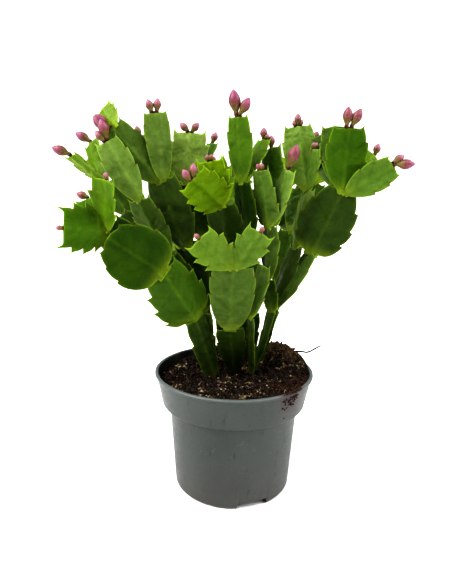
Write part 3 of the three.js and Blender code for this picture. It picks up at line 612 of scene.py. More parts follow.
# Profiles of the whole bud, foot included: share of the length from the foot's base, and share
# of the widest radius.
BUD_PROFILES = {
    "large": [(0, 0), (0.02, 0.3), (0.07, 0.42), (0.13, 0.4), (0.2, 0.45), (0.3, 0.66), (0.42, 0.9),
              (0.53, 1), (0.64, 0.97), (0.75, 0.82), (0.86, 0.55), (0.94, 0.28), (1, 0)],
    "medium": [(0, 0), (0.02, 0.34), (0.08, 0.46), (0.15, 0.44), (0.22, 0.52), (0.34, 0.78),
               (0.46, 0.97), (0.56, 1), (0.67, 0.93), (0.78, 0.74), (0.88, 0.48), (0.95, 0.24), (1, 0)],
    "small": [(0, 0), (0.03, 0.4), (0.12, 0.55), (0.2, 0.56), (0.3, 0.78), (0.44, 0.98), (0.56, 1),
              (0.7, 0.88), (0.82, 0.62), (0.92, 0.34), (1, 0)],
    "bead": [(0, 0), (0.06, 0.6), (0.25, 0.85), (0.45, 1), (0.65, 0.92), (0.82, 0.62), (0.94, 0.3),
             (1, 0)],
}
# Petals wrap the bud one after another: where the first one starts and how much later each next
# one does, their turn and half-width in radians, and how far they stand out.
PETAL = dict(start=0.16, step=0.07, end=1.04, turn=2.4, width=1.25, lift=0.35, lift_step=0.11, out=0.09)


def frame_about(direction):
    """Two axes square to a direction."""
    helper = np.array([0, 1, 0]) if abs(direction[1]) < 0.9 else np.array([1, 0, 0])
    side = np.cross(direction, helper)
    side /= np.linalg.norm(side)
    return side, np.cross(direction, side)


def grow_bud(build, origin, size, lean, toward, seed):
    """A pointed bud wrapped in petals."""
    length, radius, foot, petals, age, fine, columns = BUD_SIZES[size]
    axis = direction_of(lean, toward)
    side, other = frame_about(axis)
    draw = draws(seed)
    turn = 6.28 * draw()
    profile = np.array(smooth_path(np.array(BUD_PROFILES[size], float), fine))
    hook = 0.09 * length * (draw() + 0.2) if size != "bead" else 0
    angles = np.arange(columns) / columns * 2 * np.pi
    points, values = [], []
    for share, wide in profile:
        level, border = np.zeros(columns), np.zeros(columns)
        for k in range(petals):
            begin = PETAL["start"] + PETAL["step"] * k
            if share < begin:
                continue
            opened = min(1, (share - begin) / (PETAL["end"] - begin))
            span = PETAL["width"] * math.sin(math.pi * opened**0.6)
            middle = turn + k * PETAL["turn"]
            offset = np.abs((angles - middle + np.pi) % (2 * np.pi) - np.pi)
            cover = smoothstep((span - offset) / 0.22 + 0.5)
            level = np.maximum(level, cover * (PETAL["lift"] + PETAL["lift_step"] * k))
            border = np.maximum(border, hump(offset - span, 0.16) * (span > 0.2))
        wide = radius * max(wide, 0) * (1 + PETAL["out"] * level * (share > 0.1))
        place = origin - axis * foot + axis * (length + foot) * share
        for angle, r, rim in zip(angles, wide, border):
            out = side * (r * math.cos(angle) + hook * share**2) + other * r * math.sin(angle)
            points.append(place + out)
            values.append((share, rim, age, 1))
    build.add(np.array(points), grid_faces(len(profile), columns), bud=np.array(values))


def ball(build, centre, radii, axes, shade, rings=6, columns=9):
    """A small ellipsoid on three axes, in the colour of the scales."""
    points = []
    for i in range(rings + 1):
        polar = math.pi * i / rings
        for unit in ring(math.sin(polar), -math.cos(polar), columns):
            points.append(centre + sum(a * r * v for a, r, v in zip(axes, radii, unit)))
    bud = np.tile((0, shade, -1, 1), (len(points), 1))
    build.add(np.array(points), grid_faces(rings + 1, columns), bud=bud)


def grow_buds(build, segment, buds, seed):
    """The buds on a tip, with scales round the foot of each and a row of beads under them."""
    tip, along, across, facing = (segment[k] for k in ("tip", "along", "across", "facing"))
    shifts = [bud[3] for bud in buds]
    draw = draws(seed + 5000)
    for k, (size, lean, toward, shift) in enumerate(buds):
        foot = BUD_SIZES[size][2]
        origin = tip + along * (GAP + foot) + across * shift
        grow_bud(build, origin, size, lean, toward, seed + 7 * k)
        axis = direction_of(lean, toward)
        side, other = frame_about(axis)
        for j in range(SCALES["count"]):
            angle = j * SCALES["turn"] + 3 * draw()
            out = side * math.cos(angle) + other * math.sin(angle)
            down = SCALES["down"] - SCALES["climb"] * j / (SCALES["count"] - 1)
            centre = origin - axis * foot * down + out * foot * SCALES["out"]
            lean_out = axis + out * SCALES["lean"]
            lean_out /= np.linalg.norm(lean_out)
            sideways = np.cross(lean_out, out)
            sideways /= np.linalg.norm(sideways)
            radii = (0.3 * foot, 0.5 * foot, (0.75 + 0.2 * draw()) * foot)
            axes = (np.cross(sideways, lean_out), sideways, lean_out)
            ball(build, centre, radii, axes, 0.2 + draw())
    low, high = min(shifts) - CUSHION, max(shifts) + CUSHION
    beads = 3 + 2 * len(buds)
    for j in range(beads):
        centre = tip + across * (low + (high - low) * (j + 0.5) / beads) + facing * 1.2 * draw()
        centre = centre + along * (0.5 + 0.3 * draw())
        size = 0.62 + 0.3 * draw()
        ball(build, centre, (size, size, size), (across, facing, along), 0.5 + draw(), 5, 7)


# ---------------------------------------------------------------- pot


def rounded(corners, steps=3):
    """A profile through corners, each softened by the radius that it ends with."""
    places = [np.array(corner[:2], float) for corner in corners]
    result = [places[0]]
    for before, here, after, corner in zip(places, places[1:], places[2:], corners[1:]):
        if not corner[2]:
            result.append(here)
            continue
        a, b = before - here, after - here
        r = min(corner[2], 0.45 * np.linalg.norm(a), 0.45 * np.linalg.norm(b))
        a, b = here + a / np.linalg.norm(a) * r, here + b / np.linalg.norm(b) * r
        for u in (k / steps for k in range(steps + 1)):
            result.append((1 - u) ** 2 * a + 2 * u * (1 - u) * here + u * u * b)
    return np.array(result + [places[-1]])


COLLAR_FOOT = POT["height"] - POT["collar_height"]
LIP_FOOT = POT["height"] - POT["lip"]


def body_radius(z):
    return POT["base"] + (POT["body_top"] - POT["base"]) * z / COLLAR_FOOT


def pot_profile():
    """Radius, height and softening of each corner, from the floor's underside to its top."""
    wall, height, foot_in = POT["wall"], POT["height"], POT["foot_inner"]
    lift, floor = POT["floor_lift"], POT["floor_top"]
    body, collar, top, rim = POT["body_top"], POT["collar_foot"], POT["collar_top"], POT["rim"]
    return rounded([
        (0, 0, 0), (POT["pad"], 0, 0.4), (POT["pad"] + 1.5, lift, 0.6), (foot_in - 2, lift, 0.6),
        (foot_in, 0, 0.6), (POT["base"] - 1.6, 0, 0.8), (body_radius(1.8), 1.8, 1.6),
        (body_radius(22), 22, 0), (body_radius(44), 44, 0), (body, COLLAR_FOOT - 1.2, 1),
        (collar - 0.6, COLLAR_FOOT, 1), (collar, COLLAR_FOOT + 0.6, 0.6), (top, LIP_FOOT - 0.4, 0.5),
        (rim, LIP_FOOT + 0.4, 0.5), (rim, height, 0.7), (top - wall, height, 0.5),
        (top - wall - 0.1, LIP_FOOT - 1, 0), (collar - wall, COLLAR_FOOT + 2, 1),
        (body - wall, COLLAR_FOOT, 1), (body_radius(3) - wall, 3, 0), (POT["base"] - wall - 1, 1.5, 0),
        (foot_in + 1.6, 1.5, 0), (foot_in - 1.6, floor, 0), (0, floor, 0),
    ])


def foot_share(degrees):
    """1 over a foot and 0 over a notch, with a short slope between."""
    turn = 360 / NOTCH["count"]
    from_notch = abs((degrees - NOTCH["first"] + turn / 2) % turn - turn / 2)
    return smoothstep((from_notch - NOTCH["half"]) / 1.4 + 0.5)


def build_pot(material):
    columns = 360
    profile = pot_profile()
    outer = np.argmax(profile[:, 1])
    points = []
    for index, (r, z) in enumerate(profile):
        for c in range(columns):
            angle = math.tau * c / columns
            share = foot_share(math.degrees(angle))
            raised = max(z, POT["floor_lift"] if index <= outer else POT["floor_top"])
            raised = raised if r > POT["foot_inner"] - 4 else z
            bulge = 0.12 * math.sin(2 * angle + 0.6) * min(1, z / 60)
            points.append(((r + bulge) * math.cos(angle), (r + bulge) * math.sin(angle),
                           z * share + raised * (1 - share)))
    mesh = bpy.data.meshes.new("pot_shell")
    mesh.from_pydata((np.array(points) * MM).tolist(), [], grid_quads(len(profile), columns))
    weld(mesh, 1e-6)
    cut_drains(mesh)
    place_piece("pot_shell", mesh, material, "pot", "pot")
    mesh.set_sharp_from_angle(angle=math.radians(38))


def cut_drains(mesh):
    """Bores the round drain holes through the floor."""
    bores = bmesh.new()
    radius = DRAIN["radius"] * MM
    for place in ring(DRAIN["circle"] * MM, DRAIN["middle"] * MM, DRAIN["holes"]):
        bmesh.ops.create_cone(
            bores, cap_ends=True, segments=32, radius1=radius, radius2=radius,
            depth=DRAIN["cut"] * MM, matrix=Matrix.Translation(place),
        )
    bore_mesh = bpy.data.meshes.new("drains")
    bores.to_mesh(bore_mesh)
    bores.free()
    body, cutter = linked("pot_work", mesh), linked("drains", bore_mesh)
    cut = body.modifiers.new("cut", "BOOLEAN")
    cut.object = cutter
    cut.operation = "DIFFERENCE"
    cut.solver = "EXACT"
    bpy.context.view_layer.update()
    done = bpy.data.meshes.new_from_object(body.evaluated_get(bpy.context.evaluated_depsgraph_get()))
    for thing in (body, cutter):
        bpy.data.objects.remove(thing)
    work = bmesh.new()
    work.from_mesh(done)
    work.to_mesh(mesh)
    work.free()


# ---------------------------------------------------------------- soil


def crumb_height(x, y):
    """Clods, crumbs and grains, from coarse to fine."""
    place = Vector((x, y, 0))
    clods = noise.noise(place * 0.09 + Vector((5, 2, 1)))
    crumbs = noise.noise(place * 0.28 + Vector((1, 7, 3)))
    grains = abs(noise.noise(place * 0.75 + Vector((9, 4, 2))))
    fine = noise.noise(place * 1.6)
    return 2.0 * clods + 2.6 * crumbs + 1.8 * grains + 0.4 * fine


def build_soil(material):
    rings, columns = 96, 260
    points = []
    for i in range(rings + 1):
        radius = 57.2 * (i / rings) ** 0.85
        calm = 1 - 0.75 * smoothstep((radius - 53) / 5)
        for x, y, _ in ring(radius, 0, columns):
            points.append((x, y, float(ground_height(x, y) + calm * crumb_height(x, y))))
    side, floor = POT["wall"] + 0.4, POT["floor_top"] + 0.3
    lower = [
        (POT["collar_foot"] - side, COLLAR_FOOT + 2.8), (POT["body_top"] - side, COLLAR_FOOT + 1),
        (POT["body_top"] - side, COLLAR_FOOT), (body_radius(5) - side, floor), (0, floor),
    ]
    for radius, z in lower:
        points += ring(radius, z, columns)
    build = Build()
    build.add(points, [f[::-1] for f in grid_faces(rings + 1 + len(lower), columns)])
    weld(build.piece("soil_bed", material, "soil", "soil").data, 1e-7)


LUMP_ROWS, LUMP_COLUMNS = 6, 7


def lump(chance):
    """A rough pebble of unit size as points, on a coarse sphere."""
    last = LUMP_ROWS - 1
    points = []
    for i in range(LUMP_ROWS):
        polar = math.pi * i / last
        for c in range(LUMP_COLUMNS):
            angle = math.tau * (c + 0.5 * (i % 2)) / LUMP_COLUMNS
            r = 1 + (0.45 * (chance.random() - 0.5) if 0 < i < last else 0)
            across = r * math.sin(polar)
            points.append((across * math.cos(angle), across * math.sin(angle), -math.cos(polar)))
    return np.array(points)


def turned(chance):
    """A random rotation."""
    axis = Vector((chance.uniform(-1, 1), chance.uniform(-1, 1), chance.uniform(-1, 1)))
    return np.array(Matrix.Rotation(chance.uniform(0, 6.28), 3, axis.normalized()))


def tube(points, radii, sides):
    """Points and faces of a tube through a path."""
    points = np.array(points, float)
    ways = np.gradient(points, axis=0)
    result = []
    side = None
    for p, way, r in zip(points, ways, radii):
        way = way / max(np.linalg.norm(way), 1e-9)
        if side is None:
            side, _ = frame_about(way)
        side = side - way * (side @ way)
        side /= np.linalg.norm(side)
        other = np.cross(way, side)
        for a, b, _ in ring(r, 0, sides):
            result.append(p + side * a + other * b)
    faces = grid_faces(len(points), sides)
    count = len(result)
    result += [points[0], points[-1]]
    last = (len(points) - 1) * sides
    for c in range(sides):
        d = (c + 1) % sides
        faces.append((count, d, c))
        faces.append((count + 1, last + c, last + d))
    return np.array(result), faces


COUNTS = dict(bits=900, clusters=46, fibres=150, rubbed=150)
# Loose bits: the share of them up to each kind, the range of its tones and that of its sizes. A
# tone goes from 0, peat, over bark to 1, a pale grain.
BITS = (
    (0.62, (0, 0.3), (0.7, 2)), (0.84, (0.3, 0.55), (0.6, 1.6)), (0.95, (0.6, 0.8), (0.4, 1)),
    (1, (0.85, 1), (0.5, 1.1)),
)
FIBRE_TONES = (0.1, 0.25, 0.4, 0.55, 0.7, 0.9)
FIBRE_STEPS = 6


def build_bits(material):
    """Crumbs, bark chips, pale grains and fibres that lie on the soil, and a few on the pot."""
    chance = random.Random(11)
    between = chance.uniform
    build = Build()
    lump_faces = grid_faces(LUMP_ROWS, LUMP_COLUMNS)

    def scatter(limit):
        r = limit * math.sqrt(chance.random())
        angle = between(0, math.tau)
        return r * math.cos(angle), r * math.sin(angle)

    def above(x, y, lift):
        return x, y, float(ground_height(x, y)) + crumb_height(x, y) + lift

    def laid(shape, size, wide, high, place):
        """A lump of the given size, turned at random, at its place."""
        return shape * size * np.array([1, wide, high]) @ turned(chance).T + np.array(place)

    def add_bit(points, tone, faces=lump_faces):
        """Each bit carries its tone, and a draw of its own."""
        build.add(points, faces, bit=np.tile((tone, chance.random(), 0, 1), (len(points), 1)))

    # single crumbs, chips and grains
    for _ in range(COUNTS["bits"]):
        x, y = scatter(54.5)
        roll = chance.random()
        tones, sizes = next(kind[1:] for kind in BITS if roll < kind[0])
        tone, size = between(*tones), between(*sizes)
        place = above(x, y, 0.25 * size)
        add_bit(laid(lump(chance), size, between(0.45, 0.9), between(0.3, 0.7), place), tone)
    # clusters of pale grains
    for _ in range(COUNTS["clusters"]):
        centre_x, centre_y = scatter(52)
        spread = between(1.2, 2.6)
        for _ in range(chance.randint(14, 42)):
            x, y = centre_x + chance.gauss(0, 1.6 * spread), centre_y + chance.gauss(0, spread)
            if math.hypot(x, y) > 55:
                continue
            size = 0.25 + 1.1 * chance.random() ** 3
            place = above(x, y, 0.4 * size)
            points = laid(lump(chance), size, between(0.5, 0.9), between(0.4, 0.8), place)
            add_bit(points, between(0.56, 0.98))
    # fibres, thickest in the middle
    for _ in range(COUNTS["fibres"]):
        x, y = scatter(53)
        heading = between(0, math.tau)
        length = between(2, 6)
        curl = between(-0.9, 0.9)
        path = []
        for _ in range(FIBRE_STEPS + 1):
            path.append(above(x, y, 0.5 + between(-0.1, 0.5)))
            x += length / FIBRE_STEPS * math.cos(heading)
            y += length / FIBRE_STEPS * math.sin(heading)
            heading += curl * between(0.2, 0.9)
        if math.hypot(x, y) > 56:
            continue
        thick = between(0.12, 0.26)
        radii = [thick * (1 - 0.4 * abs(k - 3) / 3) for k in range(FIBRE_STEPS + 1)]
        points, faces = tube(path, radii, 5)
        add_bit(points, chance.choice(FIBRE_TONES), faces)
    # earth over the lip and down the collar, at the front right
    for _ in range(COUNTS["rubbed"]):
        angle = math.radians(chance.gauss(-46, 4.2))
        z = POT["height"] + 0.5 - abs(chance.gauss(0, 6))
        r = POT["collar_foot"] + (POT["rim"] - 1.4 - POT["collar_foot"]) * (z - COLLAR_FOOT) / POT["collar_height"]
        if z > LIP_FOOT - 0.6:
            r, z = POT["rim"] - between(0, 1.5), POT["height"]
        place = (r * math.cos(angle), r * math.sin(angle), z)
        size = between(0.3, 1.1)
        add_bit(laid(lump(chance), size, 0.8, 0.6, place), between(0, 0.45))
    build.piece("soil_bits", material, "soil")


def build_twig(material):
    path = smooth_path([Vector(p) for p in TWIG["points"]], 8)
    radii = []
    for i, p in enumerate(path):
        thin = 1.7 - 0.75 * i / (len(path) - 1)
        radii.append(TWIG["radius"] * thin * (0.9 + 0.25 * abs(noise.noise(p * 0.4))))
        p += Vector((0, 0, 0.25 * noise.noise(p * 0.5)))
    build = Build()
    build.add(*tube(path, radii, 10))
    chance = random.Random(3)
    for at in TWIG["branches"]:
        way = Vector((chance.uniform(-0.2, 1), chance.uniform(-1, 1), chance.uniform(-0.6, 0.5)))
        branch = [path[at] + way * (0.9 * k) + Vector((0, 0, -0.08 * k * k)) for k in range(5)]
        build.add(*tube(branch, [0.22 - 0.035 * k for k in range(5)], 6))
    build.piece("root_strand", material, "twig", "root_twig")


# ---------------------------------------------------------------- materials
#
# Lengths here are in metres, as the shader's coordinates are. Colours are sRGB codes.

HEAP_DRIES = (0.0925, 0.1)  # the soil goes from damp to dry between these heights


def colour(code):
    """A linear colour from an sRGB code such as 5f8f2a."""
    values = [int(code[i:i + 2], 16) / 255 for i in (0, 2, 4)]
    return tuple(v / 12.92 if v <= 0.04045 else ((v + 0.055) / 1.055) ** 2.4 for v in values) + (1,)


class Shader:
    """A node tree with one Principled surface, built by small calls."""

    def __init__(self, name):
        self.material = bpy.data.materials.new(name)
        self.material.use_nodes = True
        self.nodes = self.material.node_tree.nodes
        self.links = self.material.node_tree.links
        self.surface = self.nodes["Principled BSDF"]
        self.place = self.nodes.new("ShaderNodeTexCoord").outputs["Object"]
        self.base = None

    def feed(self, socket, value):
        """Links an output to a socket, or sets a plain number or colour on it."""
        if isinstance(value, bpy.types.NodeSocket):
            self.links.new(value, socket)
        else:
            socket.default_value = value

    def feed_all(self, node, values):
        """Feeds inputs by name, with an underscore for each space."""
        for name, value in values.items():
            self.feed(node.inputs[name.replace("_", " ")], value)

    def node(self, kind, **values):
        node = self.nodes.new("ShaderNode" + kind)
        self.feed_all(node, values)
        return node

    def set(self, **values):
        self.feed_all(self.surface, values)

    def noise(self, scale, detail=3, rough=0.5, stretch=None, distortion=0):
        place = self.place
        if stretch:
            place = self.node("Mapping", Vector=place, Scale=stretch).outputs["Vector"]
        waves = dict(Scale=scale, Detail=detail, Roughness=rough, Distortion=distortion)
        return self.node("TexNoise", Vector=place, **waves).outputs["Fac"]

    def cells(self, scale):
        return self.node("TexVoronoi", Vector=self.place, Scale=scale).outputs["Distance"]

    def ramp(self, value, low, high, to_low=0, to_high=1):
        ends = dict(From_Min=low, From_Max=high, To_Min=to_low, To_Max=to_high)
        return self.node("MapRange", Value=value, **ends).outputs["Result"]

    def times(self, value, *factors):
        for factor in factors:
            node = self.nodes.new("ShaderNodeMath")
            node.operation = "MULTIPLY"
            self.feed(node.inputs[0], value)
            self.feed(node.inputs[1], factor)
            value = node.outputs[0]
        return value

    def mix(self, share, a, b, blend="MIX"):
        node = self.nodes.new("ShaderNodeMix")
        node.data_type = "RGBA"
        node.blend_type = blend
        node.clamp_factor = True
        self.feed(node.inputs["Factor"], share)
        self.feed(node.inputs[6], a)
        self.feed(node.inputs[7], b)
        return node.outputs[2]

    def start(self, share, low, high):
        """The first colour of the surface, between two."""
        self.base = self.mix(share, colour(low), colour(high))

    def coat(self, share, code, blend="MIX"):
        """Lays one more colour over what the surface has so far."""
        self.base = self.mix(share, self.base, colour(code), blend)

    def attribute(self, name):
        node = self.nodes.new("ShaderNodeAttribute")
        node.attribute_name = name
        parts = self.node("SeparateColor", Color=node.outputs["Color"]).outputs
        return parts["Red"], parts["Green"], parts["Blue"], node.outputs["Alpha"]

    def position(self):
        parts = self.node("SeparateXYZ", Vector=self.place).outputs
        return parts["X"], parts["Y"], parts["Z"]

    def bump(self, height, distance, strength, under=None):
        node = self.node("Bump", Strength=strength, Distance=distance, Height=height)
        if under is not None:
            self.links.new(under, node.inputs["Normal"])
        return node.outputs["Normal"]


def stem_material():
    m = Shader("cactus_skin")
    along, rib, edge, age = m.attribute("leaf")
    tint, joint, areole, vein = m.attribute("spot")
    wax_and_sheen, band, earth, _ = m.attribute("sheen")
    # from old dark green to young yellow-green, and darker towards the soil: partly the older stems,
    # partly painted shade under the crown
    m.start(m.ramp(age, 0, 0.5), "1a2f05", "456314")
    m.coat(m.ramp(age, 0.5, 1), "7b9208")
    m.coat(m.ramp(m.position()[2], 0.15, 0.085, 0, 0.8), "081802")
    m.coat(m.ramp(tint, 0, 1, 0, 0.35), "c9d6a0", "MULTIPLY")
    # lengthwise bands of painted shade, a darker foot, cloudy patches, and places where light comes through
    m.coat(m.ramp(band, 0.1, 0.9, 0.45, 0), "a3ba70", "MULTIPLY")
    m.coat(m.ramp(along, 0.4, 0, 0, 0.2), "9fb488", "MULTIPLY")
    m.coat(m.ramp(m.noise(75, 3, 0.55), 0.35, 0.7, 0, 0.22), "b4c474", "MULTIPLY")
    # a painted glow: lighter yellow-green patches standing in for light coming through
    m.coat(m.ramp(m.noise(42, 2, 0.5), 0.46, 0.68, 0, 0.3), "39410a", "ADD")
    # the grey bloom of the wax, and a painted sheen with it
    wax_sheen_noise = m.noise(170, 4, 0.6, None, 0.6)
    m.coat(m.times(m.ramp(wax_sheen_noise, 0.3, 0.62, 0.48, 0.8), wax_and_sheen), "899a5d")
    # fine mottling and pale pores
    m.coat(m.ramp(m.noise(900, 4, 0.65), 0.45, 0.7, 0, 0.3), "b9c98a", "MULTIPLY")
    m.coat(m.ramp(m.cells(1100), 0.3, 0.08, 0, 0.16), "5c7a30", "ADD")
    # the midrib, the veins, the joint, the thin edge, the areoles, and earth on the foot
    m.coat(m.ramp(rib, 0.25, 1, 0, 0.2), "4a5a18", "ADD")
    m.coat(m.times(vein, 0.3), "b5c68c", "MULTIPLY")
    m.coat(m.times(joint, 0.4), "7c8a26")
    # the pale thin edge is partly its own colour and partly a painted highlight
    m.coat(m.times(edge, 0.75), "667428", "ADD")
    m.coat(m.times(areole, 0.8), "4a2f1a")
    m.coat(m.times(earth, 0.75), "3b3216")
    pores = m.bump(m.noise(1700, 3, 0.6), 0.00012, 0.35)
    dents = m.bump(m.noise(260, 3, 0.5), 0.0006, 0.4, pores)
    m.set(Base_Color=m.base, Roughness=m.ramp(wax_sheen_noise, 0.3, 0.7, 0.3, 0.44), Specular_IOR_Level=0.08)
    m.set(Subsurface_Weight=0.1, Subsurface_Radius=(0.7, 1, 0.15), Subsurface_Scale=0.002)
    m.set(Normal=m.bump(m.noise(75, 2, 0.5, None, 0.4), 0.008, 0.5, dents))
    return m.material


def bud_material():
    m = Shader("flower_bud")
    along, rim, age, _ = m.attribute("bud")
    # the petals: browner on small buds, pinker on grown ones, and a few browner heads
    young = m.mix(m.ramp(along, 0.4, 0.85), colour("664536"), colour("906474"))
    m.start(m.ramp(along, 0.45, 0.75), "603631", "763f58")
    # a paler tip, partly the petals' own colour and partly a painted highlight
    m.coat(m.ramp(along, 0.84, 1, 0, 0.35), "a8788a")
    m.base = m.mix(m.ramp(age, 0.2, 0.9), young, m.base)
    m.coat(m.ramp(m.noise(24, 1, 0.4), 0.48, 0.6, 0, 0.4), "704a40")
    # an olive tube under them, with a dark foot
    m.base = m.mix(m.ramp(along, 0.3, 0.52), colour("5e5620"), m.base)
    m.coat(m.ramp(along, 0.18, 0.06), "3a2a0d")
    streak = m.noise(900, 4, 0.6, (1, 1, 0.25))
    m.coat(m.ramp(streak, 0.42, 0.7, 0, 0.3), "6c4450", "ADD")
    m.coat(m.times(rim, 0.4), "b98a8c", "MULTIPLY")
    m.coat(m.ramp(m.noise(2200, 3, 0.6), 0.45, 0.7, 0, 0.12), "c99c98")
    # the scales at the foot carry an age below zero
    scale = m.mix(m.ramp(rim, 0, 1), colour("2c0f0a"), colour("6b3420"))
    m.set(Base_Color=m.mix(m.ramp(age, -0.5, -0.6), m.base, scale), Specular_IOR_Level=0.3)
    m.set(Subsurface_Weight=0.08, Subsurface_Radius=(1, 0.45, 0.45), Subsurface_Scale=0.0012)
    m.set(Roughness=m.ramp(streak, 0.3, 0.7, 0.34, 0.5), Normal=m.bump(streak, 0.0002, 0.4))
    return m.material


def pot_material():
    m = Shader("pot_plastic")
    x, y, z = m.position()
    m.start(m.ramp(m.noise(22, 3, 0.55), 0.35, 0.7), "292e2b", "323735")
    # flow lines of the moulding, grain, scuffs, and dried drips
    flow = m.noise(30, 4, 0.6, (1, 1, 0.15))
    m.coat(m.ramp(flow, 0.45, 0.75, 0, 0.35), "404644")
    grain = m.noise(2600, 2, 0.5)
    m.coat(m.ramp(grain, 0.4, 0.65, 0, 0.12), "5a605e")
    scuff = m.noise(120, 6, 0.7, (1, 1, 2.2), 1.2)
    m.coat(m.ramp(scuff, 0.58, 0.72, 0, 0.3), "61676a")
    m.coat(m.ramp(m.noise(260, 3, 0.5, (1, 1, 0.3), 0.5), 0.62, 0.72, 0, 0.7), "1d201e")
    # dust, most of it low down, and a painted highlight along the top of the lip
    dust = m.noise(420, 5, 0.7)
    m.coat(m.times(m.ramp(dust, 0.46, 0.6), m.ramp(z, 0.04, 0, 0.12, 0.8)), "3a2c22")
    m.coat(m.ramp(z, 0.0893, 0.0908, 0, 0.4), "767c7a")
    # earth rubbed onto the collar at the front right
    right = m.times(m.ramp(x, 0.029, 0.037), m.ramp(x, 0.051, 0.044))
    front, high = m.ramp(y, -0.02, -0.034), m.ramp(z, 0.068, 0.086)
    m.coat(m.times(right, front, high, m.ramp(dust, 0.3, 0.42, 0, 0.95)), "2c1813")
    m.set(Base_Color=m.base, Specular_IOR_Level=0.5, Roughness=m.ramp(scuff, 0.35, 0.75, 0.34, 0.5))
    m.set(Normal=m.bump(flow, 0.0006, 0.2, m.bump(grain, 0.00006, 0.3)))
    return m.material


def soil_material():
    m = Shader("peat")
    x, y, z = m.position()
    clod = m.noise(160, 5, 0.65)
    m.start(m.ramp(clod, 0.38, 0.62), "030202", "1c130d")
    red = m.noise(420, 4, 0.6)
    m.coat(m.ramp(red, 0.52, 0.66, 0, 0.6), "35221a")
    m.coat(m.ramp(m.cells(900), 0.16, 0.05, 0, 0.7), "5e4530")
    # drier and paler on the heap, a painted pool of light that makes the front right corner lighter
    # and redder, and pale specks
    m.coat(m.times(m.ramp(z, *HEAP_DRIES), m.ramp(clod, 0.4, 0.6, 0.2, 0.8)), "66543c")
    m.coat(m.times(m.ramp(x, 0.02, 0.038), m.ramp(y, -0.005, -0.02, 0, 0.45)), "3c2018")
    m.coat(m.ramp(m.noise(1300, 3, 0.6), 0.6, 0.68, 0, 0.8), "8a7f5e")
    m.set(Base_Color=m.base, Specular_IOR_Level=0.2, Roughness=m.ramp(red, 0.3, 0.7, 0.82, 0.96))
    m.set(Normal=m.bump(m.noise(1500, 5, 0.7), 0.0012, 0.7))
    return m.material


def bits_material():
    m = Shader("soil_crumbs")
    tone = m.attribute("bit")[0]
    # from peat through bark to pale grains, and drier on the heap
    m.start(m.ramp(tone, 0, 0.3), "080402", "2a180f")
    m.coat(m.ramp(tone, 0.3, 0.55), "56341f")
    m.coat(m.ramp(tone, 0.55, 0.75), "6a5c40")
    m.coat(m.ramp(tone, 0.8, 0.95), "aea386")
    m.coat(m.ramp(m.position()[2], *HEAP_DRIES, 0, 0.5), "5a4a34")
    grain = m.noise(1100, 4, 0.65)
    m.coat(m.ramp(grain, 0.4, 0.65, 0, 0.6), "6d5a4c", "MULTIPLY")
    m.set(Base_Color=m.base, Roughness=m.ramp(grain, 0.3, 0.7, 0.75, 0.95))
    m.set(Normal=m.bump(grain, 0.0006, 0.6))
    return m.material


def twig_material():
    m = Shader("dry_root")
    bark = m.noise(700, 5, 0.65, (0.35, 1, 1))
    m.start(m.ramp(bark, 0.35, 0.65), "0c0705", "2a1d15")
    m.set(Base_Color=m.base, Roughness=m.ramp(bark, 0.3, 0.7, 0.7, 0.9))
    m.set(Normal=m.bump(bark, 0.0003, 0.7))
    return m.material


# ---------------------------------------------------------------- the object

skin = stem_material()
petals = bud_material()

for index, (stem_name, stem) in enumerate(STEMS.items()):
    blades = Build()
    grown = grow_stem(stem, 100 * (index + 1), blades)
    blades.piece(f"segments_{stem_name}", skin, "stem", f"stem_{stem_name}")
    flowers = Build()
    stood_for = []
    for number, (segment, buds) in enumerate(BUDS.items()):
        if segment in grown:
            grow_buds(flowers, grown[segment], buds, 31 * (number + 1))
            stood_for.append(f"buds_{segment}")
    if stood_for:
        flowers.piece(f"flower_buds_{stem_name}", petals, "bud", *stood_for)

build_pot(pot_material())
build_soil(soil_material())
build_bits(bits_material())
build_twig(twig_material())

# ---------------------------------------------------------------- camera, floor and light

CAMERA = dict(place=(0, -364, 227), pitch=11.8, yaw=-1.13, roll=1.05, lens=30.8)

# Name, kind, place and aim in metres, angle in degrees or size in metres, and strength.
LIGHTS = (
    ("key", "SUN", (-0.9, -0.55, 1.3), (0, 0, 0.1), 40, 2.65),
    ("fill", "SUN", (1.1, -0.3, 0.9), (0, 0, 0.1), 40, 2.2),
    ("side", "AREA", (-0.8, -0.3, 0.6), (0, 0, 0.16), 0.5, 3),
)


def set_camera():
    data = bpy.data.cameras.new("camera")
    data.lens = CAMERA["lens"]
    data.sensor_width = 36
    camera = linked("camera", data)
    camera.matrix_world = Matrix.Translation(Vector(CAMERA["place"]) * MM)
    for angle, axis in ((-CAMERA["yaw"], "Z"), (90 - CAMERA["pitch"], "X"), (CAMERA["roll"], "Z")):
        camera.matrix_world = camera.matrix_world @ Matrix.Rotation(math.radians(angle), 4, axis)
    bpy.context.scene.camera = camera


def staged(name, points, faces, shader):
    mesh = bpy.data.meshes.new(name)
    mesh.from_pydata(points, [], faces)
    mesh.materials.append(shader.material)
    thing = linked(name, mesh)
    return thing


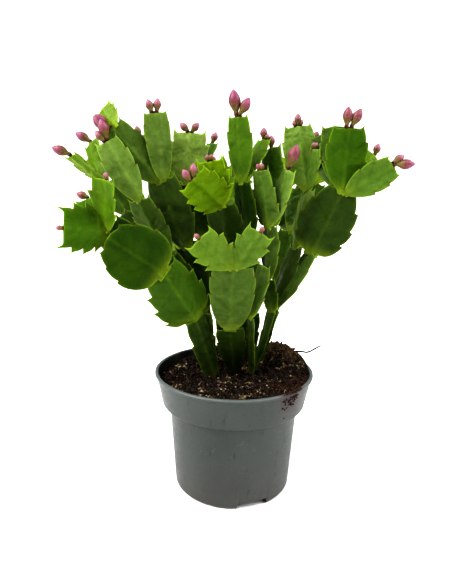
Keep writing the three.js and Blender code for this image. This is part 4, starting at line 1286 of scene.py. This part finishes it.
def set_floor():
    """A pale floor, and a plain white dome behind it that the camera sees and nothing else does."""
    reach = 12.0
    floor = Shader("studio_floor")
    floor.start(floor.noise(3, 2), "f3f3f1", "f6f6f5")
    floor.set(Base_Color=floor.base, Roughness=0.8)
    corners = [(-reach, -reach, 0), (reach, -reach, 0), (reach, reach, 0), (-reach, reach, 0)]
    staged("floor", corners, [(0, 1, 2, 3)], floor)
    rows, columns = 12, 48
    radius, sunk = 0.9 * reach, 0.01
    points = []
    for i in range(rows + 1):
        a = math.pi / 2 * i / rows
        points += ring(radius * math.cos(a), radius * math.sin(a) - sunk, columns)
    sky = Shader("studio_backdrop")
    sky.set(Base_Color=colour("000000"), Emission_Color=colour("ffffff"), Emission_Strength=1.0)
    sky.set(Roughness=1.0, Specular_IOR_Level=0)
    dome = staged("backdrop", points, grid_faces(rows + 1, columns), sky)
    dome.visible_diffuse = False
    dome.visible_glossy = False
    dome.visible_transmission = False
    dome.visible_shadow = False


def add_light(name, kind, place, aim, size, power):
    data = bpy.data.lights.new(name, kind)
    data.energy = power
    if kind == "SUN":
        data.angle = math.radians(size)
    else:
        data.shape = "DISK"
        data.size = size
    light = linked(name, data)
    light.location = place
    light.rotation_euler = (Vector(aim) - Vector(place)).to_track_quat("-Z", "Y").to_euler()


def set_world():
    """White light from all round, less of it from below."""
    world = bpy.data.worlds.new("studio")
    bpy.context.scene.world = world
    world.use_nodes = True
    nodes, links = world.node_tree.nodes, world.node_tree.links
    background = nodes["Background"]
    background.inputs["Strength"].default_value = 0.75
    parts = nodes.new("ShaderNodeSeparateXYZ")
    links.new(nodes.new("ShaderNodeTexCoord").outputs["Generated"], parts.inputs[0])
    height = nodes.new("ShaderNodeMapRange")
    for name, number in (("From Min", 0), ("From Max", 0.9), ("To Min", 0.3), ("To Max", 1)):
        height.inputs[name].default_value = number
    links.new(parts.outputs["Z"], height.inputs["Value"])
    links.new(height.outputs["Result"], background.inputs["Color"])


set_camera()
set_floor()
set_world()
for light in LIGHTS:
    add_light(*light)
view = bpy.context.scene.view_settings
view.view_transform = "Standard"
view.look = "Very High Contrast"
